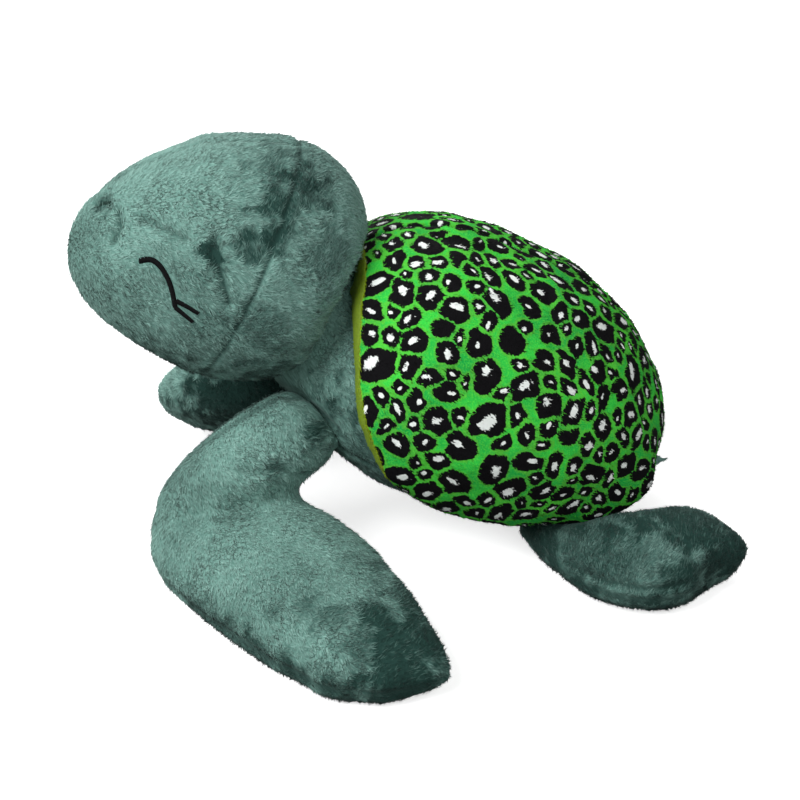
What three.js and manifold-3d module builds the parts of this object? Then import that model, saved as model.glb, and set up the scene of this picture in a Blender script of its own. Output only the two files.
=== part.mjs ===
// A plush sea turtle, lying propped on its front flippers with its head raised.
// Millimetres, +Z up. The turtle faces -Y and its left side is +X.
// The origin is the lowest point of the belly, on the surface that the turtle lies on.
//
// Every stuffed form is a loft: rings round a spine, closed by a pole at each end.
// Its cover is cut into the sewn panels, its filling is the same form drawn inwards,
// and the smaller form is always cut by the larger one that it is sewn to.

import * as THREE from "three";
import { ConvexGeometry } from "three/addons/geometries/ConvexGeometry.js";
import { mergeVertices } from "three/addons/utils/BufferGeometryUtils.js";
import Module from "manifold-3d";

const wasm = await Module();
wasm.setup();

// Cloth, seams and clearances
const clothThickness = 2.2;
const clothRoughness = 0.95;
const liningThickness = 1.6;
const seamGap = 0.3;
const overCut = 1;
const fillGap = 0.4;
const joinGap = 0.35;
const flatDepth = 0.5;
const cutterReach = 700;
const mergeDistance = 0.0001;

// Body: a pitched egg with its tail end on the floor and its chest held up
const bodyLength = 250;
const bodyHalfWidth = 90;
const bodyTopHeight = 84;
const bodyBottomHeight = 79;
const bodyPitch = THREE.MathUtils.degToRad(20);

// Neck: a low dome on the chest, which the head is sewn over and swings about
const neckRadiusShare = 0.643;
const neckSeatDistance = 24;
const neckCentreAlongShare = 0.816;
const neckCentreLift = 2;
const neckPitch = THREE.MathUtils.degToRad(44);

// Head: an egg with a blunt nose, longest from nose to nape
const headLength = 180;
const headHalfWidth = 70;
const headHalfHeight = 74;
const headDistance = 92;
const headPitch = THREE.MathUtils.degToRad(6);
const headCentreShare = 0.44;
const faceSeamShare = 0.36;
const faceSeamTilt = THREE.MathUtils.degToRad(25);

// Shell: a padded printed dome laid over the body
const shellThickness = 13;

// Flippers, each a flat pillow between a leading and a trailing edge
const frontReachOut = 158;
const frontReachForward = 112;
const frontShoulderHeight = 100;
const frontHalfThickness = 29;
const hindReachOut = 95;
const hindReachBack = 118;
const hindEdgeHeight = 30;
const hindHalfThickness = 23;

// How the right flippers lie, turned from the mirror image of the left ones
const rightFrontTurn = THREE.MathUtils.degToRad(-24);
const rightHindTurn = THREE.MathUtils.degToRad(1);

// Tail: a small cone under the back of the shell
const tailReachBack = 34;
const tailHalfWidth = 17;
const tailHalfThickness = 10;

// Stitching on the face
const eyeThreadRadius = 1.6;
const lashThreadRadius = 1.1;
const eyeAhead = 55;
const eyeTurn = THREE.MathUtils.degToRad(-9);
const eyeWidth = 17;
const eyeRise = THREE.MathUtils.degToRad(31);
const eyeArcStart = THREE.MathUtils.degToRad(-14);
const lashLength = 14;
const lashSpacing = THREE.MathUtils.degToRad(4.5);
const lashSlope = THREE.MathUtils.degToRad(32);
const nostrilAhead = 83;
const nostrilTurn = THREE.MathUtils.degToRad(62);
const nostrilLength = 11;

// How far each soft joint bends either way
const headNodRange = [-8, 8].map(THREE.MathUtils.degToRad);
const headTurnRange = [-14, 14].map(THREE.MathUtils.degToRad);
const frontFlapRange = [-8, 22].map(THREE.MathUtils.degToRad);
const hindSwingRange = [-15, 8].map(THREE.MathUtils.degToRad);
const tailWagRange = [-20, 20].map(THREE.MathUtils.degToRad);
const sweepSteps = 4;

const xAxis = new THREE.Vector3(1, 0, 0);
const yAxis = new THREE.Vector3(0, 1, 0);
const zAxis = new THREE.Vector3(0, 0, 1);

const plushColour = 0x6f9588;
const printColour = 0x3ed648;
const liningColour = 0x78960a;
const fillingColour = 0xf2efe6;
const threadColour = 0x0e0d10;
const pinchColour = 0x2c4a40;

// A value between the rows of a table of [place share, value share], without corners
function fromShares(table, place) {
  const last = table.length - 1;
  let row = 0;
  while (row < last - 1 && place > table[row + 1][0]) row += 1;
  const [startPlace, startValue] = table[row];
  const [endPlace, endValue] = table[row + 1];
  const slope = (i) => {
    const before = table[Math.max(i - 1, 0)];
    const after = table[Math.min(i + 1, last)];
    return (after[1] - before[1]) / (after[0] - before[0]);
  };
  const span = endPlace - startPlace;
  const t = THREE.MathUtils.clamp((place - startPlace) / span, 0, 1);
  const rise = t * t * (3 - 2 * t);
  const leave = t * (1 - t) * (1 - t) * span * slope(row);
  const arrive = t * t * (t - 1) * span * slope(row + 1);
  return startValue + (endValue - startValue) * rise + leave + arrive;
}

// 0 at a closed end, rising along a quarter circle to 1 at the given share of the length
function roundedEnd(distanceShare, roundShare) {
  const t = Math.min(distanceShare / roundShare, 1);
  return Math.sqrt(1 - (1 - t) * (1 - t));
}

// The rings of a soft form. Each ring has its points, its place and the way its seam parts.
function softForm({ spine, rings, sides, across, width, top, bottom, startRound, endRound }) {
  const ringList = [];
  for (let i = 1; i <= rings; i += 1) {
    const place = (1 - Math.cos((Math.PI * i) / (rings + 1))) / 2;
    const centre = spine.getPointAt(place);
    const tangent = spine.getTangentAt(place);
    const side = across(place, tangent);
    const up = new THREE.Vector3().crossVectors(side, tangent).normalize();
    if (up.z < 0) up.negate();
    const close = roundedEnd(place, startRound) * roundedEnd(1 - place, endRound);
    const points = [];
    for (let j = 0; j < sides; j += 1) {
      const turn = (2 * Math.PI * j) / sides;
      const lift = Math.sin(turn) > 0 ? top(place) : bottom(place);
      points.push(
        centre.clone()
          .addScaledVector(side, close * width(place) * Math.cos(turn))
          .addScaledVector(up, close * lift * Math.sin(turn)),
      );
    }
    ringList.push({ points, up, place });
  }
  return { start: spine.getPointAt(0), end: spine.getPointAt(1), ringList, sides };
}

// Corner numbers of a form's triangles: pole 0, then the rings, then the other pole
function formFaces(ringCount, sides) {
  const at = (ring, j) => 1 + ring * sides + (j % sides);
  const end = 1 + ringCount * sides;
  const faces = [];
  for (let j = 0; j < sides; j += 1) {
    faces.push([0, at(0, j), at(0, j + 1)]);
    faces.push([end, at(ringCount - 1, j + 1), at(ringCount - 1, j)]);
    for (let ring = 0; ring < ringCount - 1; ring += 1) {
      faces.push([at(ring, j), at(ring + 1, j), at(ring + 1, j + 1)]);
      faces.push([at(ring, j), at(ring + 1, j + 1), at(ring, j + 1)]);
    }
  }
  return faces;
}

function formPoints(form) {
  return [form.start, ...form.ringList.flatMap((ring) => ring.points), form.end];
}

function geometryOf(points, faces) {
  const geometry = new THREE.BufferGeometry();
  const places = points.flatMap((point) => point.toArray());
  geometry.setAttribute("position", new THREE.Float32BufferAttribute(places, 3));
  geometry.setIndex(faces.flat());
  return geometry;
}

// Six times the signed volume, to turn a form whose rings run the other way
function signedVolume(points, faces) {
  const cross = new THREE.Vector3();
  return faces.reduce((sum, [a, b, c]) => {
    cross.crossVectors(points[b], points[c]);
    return sum + points[a].dot(cross);
  }, 0);
}

function outwardFaces(points, faces) {
  const turned = signedVolume(points, faces) < 0;
  return turned ? faces.map(([a, b, c]) => [a, c, b]) : faces;
}

function formGeometry(form) {
  const points = formPoints(form);
  const faces = formFaces(form.ringList.length, form.sides);
  return geometryOf(points, outwardFaces(points, faces));
}

// The same form with every point moved along its normal by distance(place)
function offsetForm(form, distance) {
  const geometry = formGeometry(form);
  geometry.computeVertexNormals();
  const normals = geometry.getAttribute("normal");
  const move = (point, index, place) =>
    point.clone().addScaledVector(
      new THREE.Vector3().fromBufferAttribute(normals, index),
      typeof distance === "function" ? distance(place) : distance,
    );
  const { sides } = form;
  const ringList = form.ringList.map((ring, i) => ({
    ...ring,
    points: ring.points.map((point, j) => move(point, 1 + i * sides + j, ring.place)),
  }));
  const last = 1 + form.ringList.length * sides;
  return { start: move(form.start, 0, 0), end: move(form.end, last, 1), ringList, sides };
}

function movedForm(form, matrix) {
  const move = (point) => point.clone().applyMatrix4(matrix);
  return {
    start: move(form.start),
    end: move(form.end),
    sides: form.sides,
    ringList: form.ringList.map((ring) => ({
      ...ring,
      points: ring.points.map(move),
      up: ring.up.clone().transformDirection(matrix),
    })),
  };
}

function lowestPoint(form) {
  return formPoints(form).reduce((low, point) => (point.z < low.z ? point : low));
}

// Solids for cutting and joining
function solidOf(geometry) {
  const bare = geometry.clone();
  for (const name of Object.keys(bare.attributes)) {
    if (name !== "position") bare.deleteAttribute(name);
  }
  const merged = mergeVertices(bare, mergeDistance);
  return new wasm.Manifold(
    new wasm.Mesh({
      numProp: 3,
      vertProperties: new Float32Array(merged.getAttribute("position").array),
      triVerts: new Uint32Array(merged.getIndex().array),
    }),
  );
}

// The corner that stands for each corner's connected surface
function surfaceOfCorners(cornerCount, triangles) {
  const leader = Array.from({ length: cornerCount }, (_, i) => i);
  const find = (start) => {
    let i = start;
    while (leader[i] !== i) {
      leader[i] = leader[leader[i]];
      i = leader[i];
    }
    return i;
  };
  for (const [a, b, c] of triangles) {
    leader[find(b)] = find(a);
    leader[find(c)] = find(a);
  }
  return leader.map((_, i) => find(i));
}

// The largest closed surface of a cut solid, without the slivers and pockets that cuts leave
function geometryFrom(solid) {
  const mesh = solid.getMesh();
  const points = [];
  for (let i = 0; i < mesh.vertProperties.length; i += mesh.numProp) {
    points.push(new THREE.Vector3().fromArray(mesh.vertProperties, i));
  }
  const triangles = [];
  for (let i = 0; i < mesh.triVerts.length; i += 3) {
    triangles.push(Array.from(mesh.triVerts.slice(i, i + 3)));
  }
  const surfaceOf = surfaceOfCorners(points.length, triangles);
  const surfaces = new Map();
  for (const triangle of triangles) {
    const surface = surfaceOf[triangle[0]];
    if (!surfaces.has(surface)) surfaces.set(surface, []);
    surfaces.get(surface).push(triangle);
  }
  const volume = (faces) => signedVolume(points, faces);
  const largest = [...surfaces.values()].reduce((a, b) => (volume(a) >= volume(b) ? a : b));
  return mergeVertices(geometryOf(points, largest).toNonIndexed(), mergeDistance);
}

function formSolid(form, distance = 0) {
  return solidOf(formGeometry(distance === 0 ? form : offsetForm(form, distance)));
}

// Everything on the side of a plane that its normal points to, as a large block
function blockBeyond(point, normal) {
  const block = new THREE.BoxGeometry(cutterReach, cutterReach, cutterReach);
  block.translate(0, 0, cutterReach / 2);
  const turn = new THREE.Quaternion().setFromUnitVectors(zAxis, normal.clone().normalize());
  block.applyQuaternion(turn);
  block.translate(point.x, point.y, point.z);
  return solidOf(block);
}

const belowFloor = blockBeyond(new THREE.Vector3(), zAxis.clone().negate());

function turnedAbout(solid, pivot, axis, angle) {
  const matrix = new THREE.Matrix4()
    .makeTranslation(pivot.x, pivot.y, pivot.z)
    .multiply(new THREE.Matrix4().makeRotationAxis(axis, angle))
    .multiply(new THREE.Matrix4().makeTranslation(-pivot.x, -pivot.y, -pivot.z));
  return solid.transform(matrix.toArray());
}

// Evenly spaced angles over a range, both limits and rest included
function anglesOver([low, high]) {
  const angles = [];
  for (let step = 0; step <= sweepSteps; step += 1) {
    angles.push(THREE.MathUtils.lerp(low, high, step / sweepSteps));
  }
  return angles.includes(0) ? angles : [0, ...angles];
}

// A neighbour as a moving piece meets it over its swings, the one nearest the body first
function sweptNeighbour(solid, swings) {
  return swings.reduce((swept, { pivot, axis, range }) => {
    const turned = anglesOver(range).map((angle) => turnedAbout(swept, pivot, axis, -angle));
    return turned.reduce((sum, copy) => sum.add(copy));
  }, solid);
}

// The smallest rounded block that holds a neighbour wherever the swings take it
function hullOverSwings(solid, swings) {
  const { vertProperties, numProp } = solid.getMesh();
  const corners = [];
  for (let i = 0; i < vertProperties.length; i += numProp) {
    corners.push(new THREE.Vector3().fromArray(vertProperties, i));
  }
  const swept = swings.reduce((points, { pivot, axis, range }) =>
    anglesOver(range).flatMap((angle) =>
      points.map((point) => point.clone().sub(pivot).applyAxisAngle(axis, -angle).add(pivot))),
  corners);
  return solidOf(new ConvexGeometry(swept));
}

const group = new THREE.Group();

function addPiece(name, geometry, colour) {
  const material = new THREE.MeshStandardMaterial({
    color: colour,
    roughness: clothRoughness,
    metalness: 0,
  });
  const mesh = new THREE.Mesh(geometry, material);
  mesh.name = name;
  group.add(mesh);
}

function mirrored(geometry) {
  const copy = geometry.clone().scale(-1, 1, 1);
  const index = Array.from(copy.getIndex().array);
  for (let i = 0; i < index.length; i += 3) {
    [index[i + 1], index[i + 2]] = [index[i + 2], index[i + 1]];
  }
  copy.setIndex(index);
  return copy;
}

// Body form

const bodyWidthShares = [
  [0, 0.86], [0.15, 0.9], [0.4, 1], [0.6, 1], [0.8, 0.9], [0.92, 0.8], [1, 0.74],
];
const bodyTopShares = [
  [0, 0.68], [0.15, 0.75], [0.35, 0.91], [0.6, 1], [0.8, 0.97], [0.92, 0.86], [1, 0.72],
];
const bodyBottomShares = [
  [0, 0.84], [0.2, 0.96], [0.4, 1], [0.6, 0.97], [0.8, 0.85], [1, 0.76],
];
const bodyRings = 12;
const bodySides = 20;
const bodyRound = 0.34;

const bodyForward = new THREE.Vector3(0, -Math.cos(bodyPitch), Math.sin(bodyPitch));
const bodyUp = new THREE.Vector3(0, Math.sin(bodyPitch), Math.cos(bodyPitch));

function straightSpine(from, to) {
  return new THREE.LineCurve3(from, to);
}

function makeBodyForm() {
  const form = softForm({
    spine: straightSpine(new THREE.Vector3(), bodyForward.clone().multiplyScalar(bodyLength)),
    rings: bodyRings,
    sides: bodySides,
    across: () => xAxis.clone(),
    width: (place) => bodyHalfWidth * fromShares(bodyWidthShares, place),
    top: (place) => bodyTopHeight * fromShares(bodyTopShares, place),
    bottom: (place) => bodyBottomHeight * fromShares(bodyBottomShares, place),
    startRound: bodyRound,
    endRound: bodyRound,
  });
  const low = lowestPoint(form);
  const settle = new THREE.Matrix4().makeTranslation(0, -low.y, -low.z - flatDepth);
  return movedForm(form, settle);
}

const bodyForm = makeBodyForm();
const bodyRear = bodyForm.start;

// A place in the body's own frame: how far along from the tail end, how high, how far out
function bodyPlace(along, lift, out = 0) {
  return bodyRear.clone()
    .addScaledVector(bodyForward, along)
    .addScaledVector(bodyUp, lift)
    .addScaledVector(xAxis, out);
}

// Neck and head frames

const neckUp = new THREE.Vector3(0, -Math.cos(neckPitch), Math.sin(neckPitch));
const neckCentre = bodyPlace(neckCentreAlongShare * bodyLength, neckCentreLift);
const neckSeat = neckCentre.clone().addScaledVector(neckUp, neckSeatDistance);
const headCentre = neckCentre.clone().addScaledVector(neckUp, headDistance);
const headNod = { pivot: neckCentre, axis: xAxis, range: headNodRange };
const headTurn = { pivot: neckSeat, axis: neckUp, range: headTurnRange };
const headForward = new THREE.Vector3(0, -Math.cos(headPitch), Math.sin(headPitch));
const headUp = new THREE.Vector3(0, Math.sin(headPitch), Math.cos(headPitch));

const neckSides = 20;
const neckRings = 14;

function neckSphere(distance) {
  const radius = neckRadiusShare * bodyTopHeight + distance;
  const ball = new THREE.SphereGeometry(radius, neckSides, neckRings);
  ball.rotateX(Math.PI / 2 - neckPitch);
  ball.translate(neckCentre.x, neckCentre.y, neckCentre.z);
  return solidOf(ball);
}

// Head form

const headWidthShares = [
  [0, 0.97], [0.2, 0.98], [0.42, 1], [0.56, 0.96], [0.7, 0.78], [0.85, 0.64], [1, 0.56],
];
const headHeightShares = [
  [0, 0.97], [0.2, 0.97], [0.3, 1], [0.45, 1], [0.56, 0.98],
  [0.66, 0.88], [0.76, 0.75], [0.86, 0.66], [0.94, 0.61], [1, 0.6],
];
const headRings = 12;
const headSides = 20;
const headBackRound = 0.36;
const noseRound = 0.25;

function headPlace(share) {
  return headCentre.clone().addScaledVector(headForward, headLength * (share - headCentreShare));
}

const headForm = softForm({
  spine: straightSpine(headPlace(0), headPlace(1)),
  rings: headRings,
  sides: headSides,
  across: () => xAxis.clone(),
  width: (place) => headHalfWidth * fromShares(headWidthShares, place),
  top: (place) => headHalfHeight * fromShares(headHeightShares, place),
  bottom: (place) => headHalfHeight * fromShares(headHeightShares, place),
  startRound: headBackRound,
  endRound: noseRound,
});

// Shell form, thinner towards the tail, and the side view of its rim from the nape down.
// A row of the rim is how far along the body it lies and how high.

const shellThicknessShares = [[0, 0.6], [0.2, 0.85], [0.45, 1], [1, 1]];
const shellRimShares = [
  [0.9, 1.2], [0.9, 0.8], [0.88, 0.4], [0.83, 0.02], [0.75, -0.28],
  [0.64, -0.5], [0.5, -0.6], [0.34, -0.55], [0.18, -0.45], [0, -0.36], [-0.2, -0.3],
];
const shellRimSteps = 22;
const shellForm = offsetForm(
  bodyForm, (place) => shellThickness * fromShares(shellThicknessShares, place));

// The solid that keeps what lies within the rim, drawn inwards by a distance
function withinRim(inset) {
  const points = shellRimShares.map(([along, lift]) =>
    bodyPlace(along * bodyLength, lift * bodyTopHeight));
  const rim = new THREE.CatmullRomCurve3(points, false, "centripetal");
  const outline = [];
  for (let i = 0; i <= shellRimSteps; i += 1) {
    const place = rim.getPointAt(i / shellRimSteps);
    const tangent = rim.getTangentAt(i / shellRimSteps);
    const inwards = new THREE.Vector3(0, -tangent.z, tangent.y);
    place.addScaledVector(inwards, inset);
    outline.push(new THREE.Vector2(place.y, place.z));
  }
  const first = outline[0];
  const last = outline[outline.length - 1];
  outline.push(new THREE.Vector2(last.x + cutterReach, last.y));
  outline.push(new THREE.Vector2(last.x + cutterReach, first.y + cutterReach));
  outline.push(new THREE.Vector2(first.x, first.y + cutterReach));
  const prism = new THREE.ExtrudeGeometry(new THREE.Shape(outline), {
    depth: cutterReach,
    bevelEnabled: false,
    steps: 1,
  });
  prism.translate(0, 0, -cutterReach / 2);
  prism.applyMatrix4(new THREE.Matrix4().makeBasis(yAxis, zAxis, xAxis));
  return solidOf(prism);
}

function shellSolid(outerDistance, innerDistance, inset) {
  return formSolid(shellForm, outerDistance)
    .subtract(formSolid(bodyForm, innerDistance))
    .intersect(withinRim(inset));
}

// What lies to the left of the seam down the middle

const leftOfMiddle = blockBeyond(new THREE.Vector3(seamGap / 2, 0, 0), xAxis);

function addShell() {
  const printedLayer = shellSolid(0, joinGap, 0)
    .subtract(formSolid(shellForm, -clothThickness));
  const left = geometryFrom(printedLayer.intersect(leftOfMiddle));
  addPiece("shell_left_panel", left, printColour);
  addPiece("shell_right_panel", mirrored(left), printColour);

  const underPrint = -clothThickness - fillGap;
  const bag = shellSolid(underPrint, joinGap, 0);
  const lined = shellSolid(underPrint + overCut, joinGap + liningThickness, liningThickness);
  addPiece("shell_lining", geometryFrom(bag.subtract(lined)), liningColour);

  const wadding = shellSolid(
    underPrint, joinGap + liningThickness + fillGap, liningThickness + fillGap);
  addPiece("shell_stuffing", geometryFrom(wadding), fillingColour);
}

// Body cover: a belly panel below, and a left and a right panel above it

const bellySeamLift = -34;

function addBody() {
  const whole = formSolid(bodyForm)
    .subtract(belowFloor)
    .subtract(blockBeyond(neckSeat, neckUp));
  const hollow = formSolid(bodyForm, -clothThickness)
    .subtract(blockBeyond(new THREE.Vector3(0, 0, clothThickness), zAxis.clone().negate()))
    .subtract(blockBeyond(neckSeat.clone().addScaledVector(neckUp, -clothThickness), neckUp));
  const cover = whole.subtract(hollow);
  const seam = bodyPlace(bodyLength / 2, bellySeamLift);
  const below = blockBeyond(seam, bodyUp.clone().negate());
  const above = blockBeyond(seam.clone().addScaledVector(bodyUp, seamGap), bodyUp);
  addPiece("belly_panel", geometryFrom(cover.intersect(below)), plushColour);
  const left = geometryFrom(cover.intersect(above).intersect(leftOfMiddle));
  addPiece("body_left_panel", left, plushColour);
  addPiece("body_right_panel", mirrored(left), plushColour);

  const inner = formSolid(bodyForm, -clothThickness - fillGap)
    .subtract(blockBeyond(new THREE.Vector3(0, 0, clothThickness + fillGap), zAxis.clone().negate()))
    .subtract(blockBeyond(
      neckSeat.clone().addScaledVector(neckUp, -clothThickness - fillGap), neckUp));
  addPiece("body_stuffing", geometryFrom(inner), fillingColour);
}

// Neck: the dome between the chest and the hollow in the head, clear of the shell's nape

function addNeck() {
  const base = neckSeat.clone().addScaledVector(neckUp, joinGap);
  const dome = neckSphere(0).intersect(blockBeyond(base, neckUp));
  const inside = neckSphere(-clothThickness)
    .intersect(blockBeyond(base.clone().addScaledVector(neckUp, -overCut), neckUp));
  addPiece("neck_panel", geometryFrom(dome.subtract(inside)), plushColour);
  const filling = neckSphere(-clothThickness - fillGap).intersect(blockBeyond(base, neckUp));
  addPiece("neck_stuffing", geometryFrom(filling), fillingColour);
}

// Head: two face panels that meet along the middle, and one panel round the back

function headNeighbours(distance) {
  const body = formSolid(bodyForm, distance).subtract(blockBeyond(neckSeat, neckUp));
  const around = body.add(shellSolid(distance, 0, -distance));
  return hullOverSwings(around, [headTurn, headNod])
    .add(hullOverSwings(neckSphere(distance), [headNod]));
}

function addHead() {
  const whole = formSolid(headForm).subtract(headNeighbours(joinGap));
  const hollow = formSolid(headForm, -clothThickness)
    .subtract(headNeighbours(joinGap + clothThickness));
  const cover = whole.subtract(hollow);
  const seamNormal = headForward.clone().applyAxisAngle(xAxis, -faceSeamTilt);
  const seam = headPlace(faceSeamShare);
  const front = blockBeyond(seam.clone().addScaledVector(seamNormal, seamGap), seamNormal);
  const back = blockBeyond(seam, seamNormal.clone().negate());
  const left = geometryFrom(cover.intersect(front).intersect(leftOfMiddle));
  addPiece("face_left_panel", left, plushColour);
  addPiece("face_right_panel", mirrored(left), plushColour);
  addPiece("head_back_panel", geometryFrom(cover.intersect(back)), plushColour);
  const filling = formSolid(headForm, -clothThickness - fillGap)
    .subtract(headNeighbours(joinGap + clothThickness + fillGap));
  addPiece("head_stuffing", geometryFrom(filling), fillingColour);
}

// A flat pillow between two edges. A row holds a point of each edge and a thickness share.
function pillowForm({ rows, place, halfThickness, rings, sides }) {
  const leading = new THREE.CatmullRomCurve3(rows.map(([edge]) => place(edge)));
  const trailing = new THREE.CatmullRomCurve3(rows.map(([, edge]) => place(edge)));
  const thickness = rows.map(([, , share], i) => [i / (rows.length - 1), share]);
  const middle = (t) => leading.getPoint(t).add(trailing.getPoint(t)).multiplyScalar(1 / 2);
  const ringList = [];
  for (let i = 1; i <= rings; i += 1) {
    const t = i / (rings + 1);
    const halfStep = 1 / (2 * rings);
    const side = leading.getPoint(t).sub(trailing.getPoint(t)).multiplyScalar(1 / 2);
    const along = middle(t + halfStep).sub(middle(t - halfStep));
    const up = new THREE.Vector3().crossVectors(side, along).normalize();
    if (up.z < 0) up.negate();
    const lift = halfThickness * fromShares(thickness, t);
    const centre = middle(t);
    const points = [];
    for (let j = 0; j < sides; j += 1) {
      const turn = (2 * Math.PI * j) / sides;
      points.push(
        centre.clone()
          .addScaledVector(side, Math.cos(turn))
          .addScaledVector(up, lift * Math.sin(turn)),
      );
    }
    ringList.push({ points, up, place: t });
  }
  return { start: middle(0), end: middle(1), ringList, sides };
}

// The same pillow with its edges and faces drawn in by a distance
function drawnIn(form, distance) {
  const towards = (point, centre) => {
    const way = centre.clone().sub(point);
    return point.clone().addScaledVector(way.normalize(), distance);
  };
  const middles = [];
  const ringList = form.ringList.map((ring) => {
    const leading = ring.points[0];
    const trailing = ring.points[form.sides / 2];
    const middle = leading.clone().add(trailing).multiplyScalar(1 / 2);
    const side = towards(leading, middle).sub(middle);
    const lift = towards(ring.points[form.sides / 4], middle).sub(middle);
    middles.push(middle);
    const points = ring.points.map((_, j) => {
      const turn = (2 * Math.PI * j) / form.sides;
      return middle.clone()
        .addScaledVector(side, Math.cos(turn))
        .addScaledVector(lift, Math.sin(turn));
    });
    return { ...ring, points };
  });
  return {
    start: towards(form.start, middles[0]),
    end: towards(form.end, middles[middles.length - 1]),
    ringList,
    sides: form.sides,
  };
}

// One of a pillow's two panels: half of each ring, with the cloth's inner face behind it
function halfCover(form, inner, upper) {
  const half = form.sides / 2;
  const first = upper ? 0 : half;
  const columns = Array.from({ length: half + 1 }, (_, k) => (first + k) % form.sides);
  const part = upper ? seamGap / 2 : -seamGap / 2;
  const points = [];
  const layer = (source) => {
    const base = points.length;
    const firstUp = source.ringList[0].up;
    const lastUp = source.ringList[source.ringList.length - 1].up;
    points.push(source.start.clone().addScaledVector(firstUp, part));
    for (const ring of source.ringList) {
      columns.forEach((j, k) => {
        const onSeam = k === 0 || k === half;
        points.push(ring.points[j].clone().addScaledVector(ring.up, onSeam ? part : 0));
      });
    }
    points.push(source.end.clone().addScaledVector(lastUp, part));
    return base;
  };
  const outer = layer(form);
  const under = layer(inner);
  const rings = form.ringList.length;
  const at = (base, ring, k) => {
    if (ring < 0) return base;
    if (ring >= rings) return base + 1 + rings * (half + 1);
    return base + 1 + ring * (half + 1) + k;
  };
  const faces = [];
  const quad = (a, b, c, d) => {
    if (a !== b && b !== c && a !== c) faces.push([a, b, c]);
    if (a !== c && c !== d && a !== d) faces.push([a, c, d]);
  };
  for (let ring = -1; ring < rings; ring += 1) {
    for (let k = 0; k < half; k += 1) {
      const next = k + 1;
      quad(at(outer, ring, k), at(outer, ring + 1, k), at(outer, ring + 1, next), at(outer, ring, next));
      quad(at(under, ring, k), at(under, ring, next), at(under, ring + 1, next), at(under, ring + 1, k));
    }
    const edge = (k, near, far) =>
      quad(at(near, ring, k), at(far, ring, k), at(far, ring + 1, k), at(near, ring + 1, k));
    edge(0, outer, under);
    edge(half, under, outer);
  }
  return solidOf(geometryOf(points, outwardFaces(points, faces)));
}

// A limb's two panels and its filling, cut by what it is sewn to
function addLimb(name, form, cutBy) {
  const inner = drawnIn(form, clothThickness);
  const top = halfCover(form, inner, true).subtract(cutBy);
  const bottom = halfCover(form, inner, false).subtract(cutBy);
  const filling = formSolid(drawnIn(form, clothThickness + fillGap)).subtract(cutBy);
  addPiece(`${name}_top_panel`, geometryFrom(top), plushColour);
  addPiece(`${name}_bottom_panel`, geometryFrom(bottom), plushColour);
  addPiece(`${name}_stuffing`, geometryFrom(filling), fillingColour);
}

// Front flippers: each hangs from the side of the chest, bends at the floor and sweeps back

const frontRootAlongShare = 0.9;
const frontRootOutShare = 0.5;
const frontPivotShares = [0.08, 0.1, 0.9];
const frontRings = 12;
const flipperSides = 12;
const frontEdgeShares = [
  [[-0.05, 0, 1], [-0.05, 0, 1], 0],
  [[0.01, 0.29, 1.12], [0, -0.08, 0.78], 0.7],
  [[0, 0.6, 0.86], [0.03, 0.08, 0.62], 0.8],
  [[-0.01, 0.83, 0.62], [0.07, 0.17, 0.53], 0.88],
  [[0.02, 0.98, 0.38], [0.09, 0.15, 0.45], 0.7],
  [[0.12, 1, 0.22], [0.12, 0.1, 0.39], 0.66],
  [[0.24, 0.97, 0.18], [0.18, 0.02, 0.37], 0.76],
  [[0.38, 0.85, 0.15], [0.27, -0.08, 0.35], 0.86],
  [[0.56, 0.65, 0.14], [0.37, -0.17, 0.33], 0.8],
  [[0.75, 0.41, 0.13], [0.5, -0.25, 0.29], 0.72],
  [[0.92, 0.16, 0.12], [0.63, -0.33, 0.26], 0.66],
  [[1, -0.13, 0.11], [0.77, -0.41, 0.21], 0.5],
  [[0.97, -0.51, 0.11], [0.97, -0.51, 0.11], 0],
];

const frontRoot = bodyPlace(
  frontRootAlongShare * bodyLength, 0, frontRootOutShare * bodyHalfWidth);

function frontPlace([out, forward, rise]) {
  return new THREE.Vector3(
    frontRoot.x + out * frontReachOut,
    frontRoot.y - forward * frontReachForward,
    rise * frontShoulderHeight,
  );
}

// A form let down until it presses the floor by the depth that is cut flat
function onFloor(form) {
  const drop = -lowestPoint(form).z - flatDepth;
  return movedForm(form, new THREE.Matrix4().makeTranslation(0, 0, drop));
}

function addFrontFlippers() {
  const form = onFloor(pillowForm({
    rows: frontEdgeShares,
    place: frontPlace,
    halfThickness: frontHalfThickness,
    rings: frontRings,
    sides: flipperSides,
  }));
  const flap = {
    pivot: frontPlace(frontPivotShares),
    axis: new THREE.Vector3(-1, -1, 0).normalize(),
    range: frontFlapRange,
  };
  addLimbPair("front", form, flap, rightFrontTurn);
}

// Hind flippers: each comes out from under the rim of the shell and points back

const hindRootAlongShare = 0.36;
const hindRootOutShare = 0.55;
const hindPivotShares = [0.03, 0.04, 0.6];
const hindRings = 9;
const hindEdgeShares = [
  [[-0.16, -0.04, 0.7], [-0.16, -0.04, 0.7], 0],
  [[0.17, 0.24, 0.55], [0.2, -0.08, 0.52], 0.45],
  [[0.36, 0.36, 0.62], [0.52, 0.05, 0.56], 0.55],
  [[0.4, 0.47, 0.85], [0.77, 0.16, 0.56], 0.82],
  [[0.35, 0.6, 1], [0.93, 0.33, 0.53], 0.97],
  [[0.29, 0.76, 1.05], [1, 0.56, 0.53], 1],
  [[0.29, 0.91, 0.95], [0.95, 0.77, 0.53], 0.93],
  [[0.38, 1.03, 0.8], [0.82, 0.95, 0.55], 0.74],
  [[0.56, 1.1, 0.6], [0.56, 1.1, 0.6], 0],
];

const hindRoot = bodyPlace(
  hindRootAlongShare * bodyLength, 0, hindRootOutShare * bodyHalfWidth);

function hindPlace([out, back, rise]) {
  return new THREE.Vector3(
    hindRoot.x + out * hindReachOut,
    hindRoot.y + back * hindReachBack,
    rise * hindEdgeHeight,
  );
}

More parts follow.
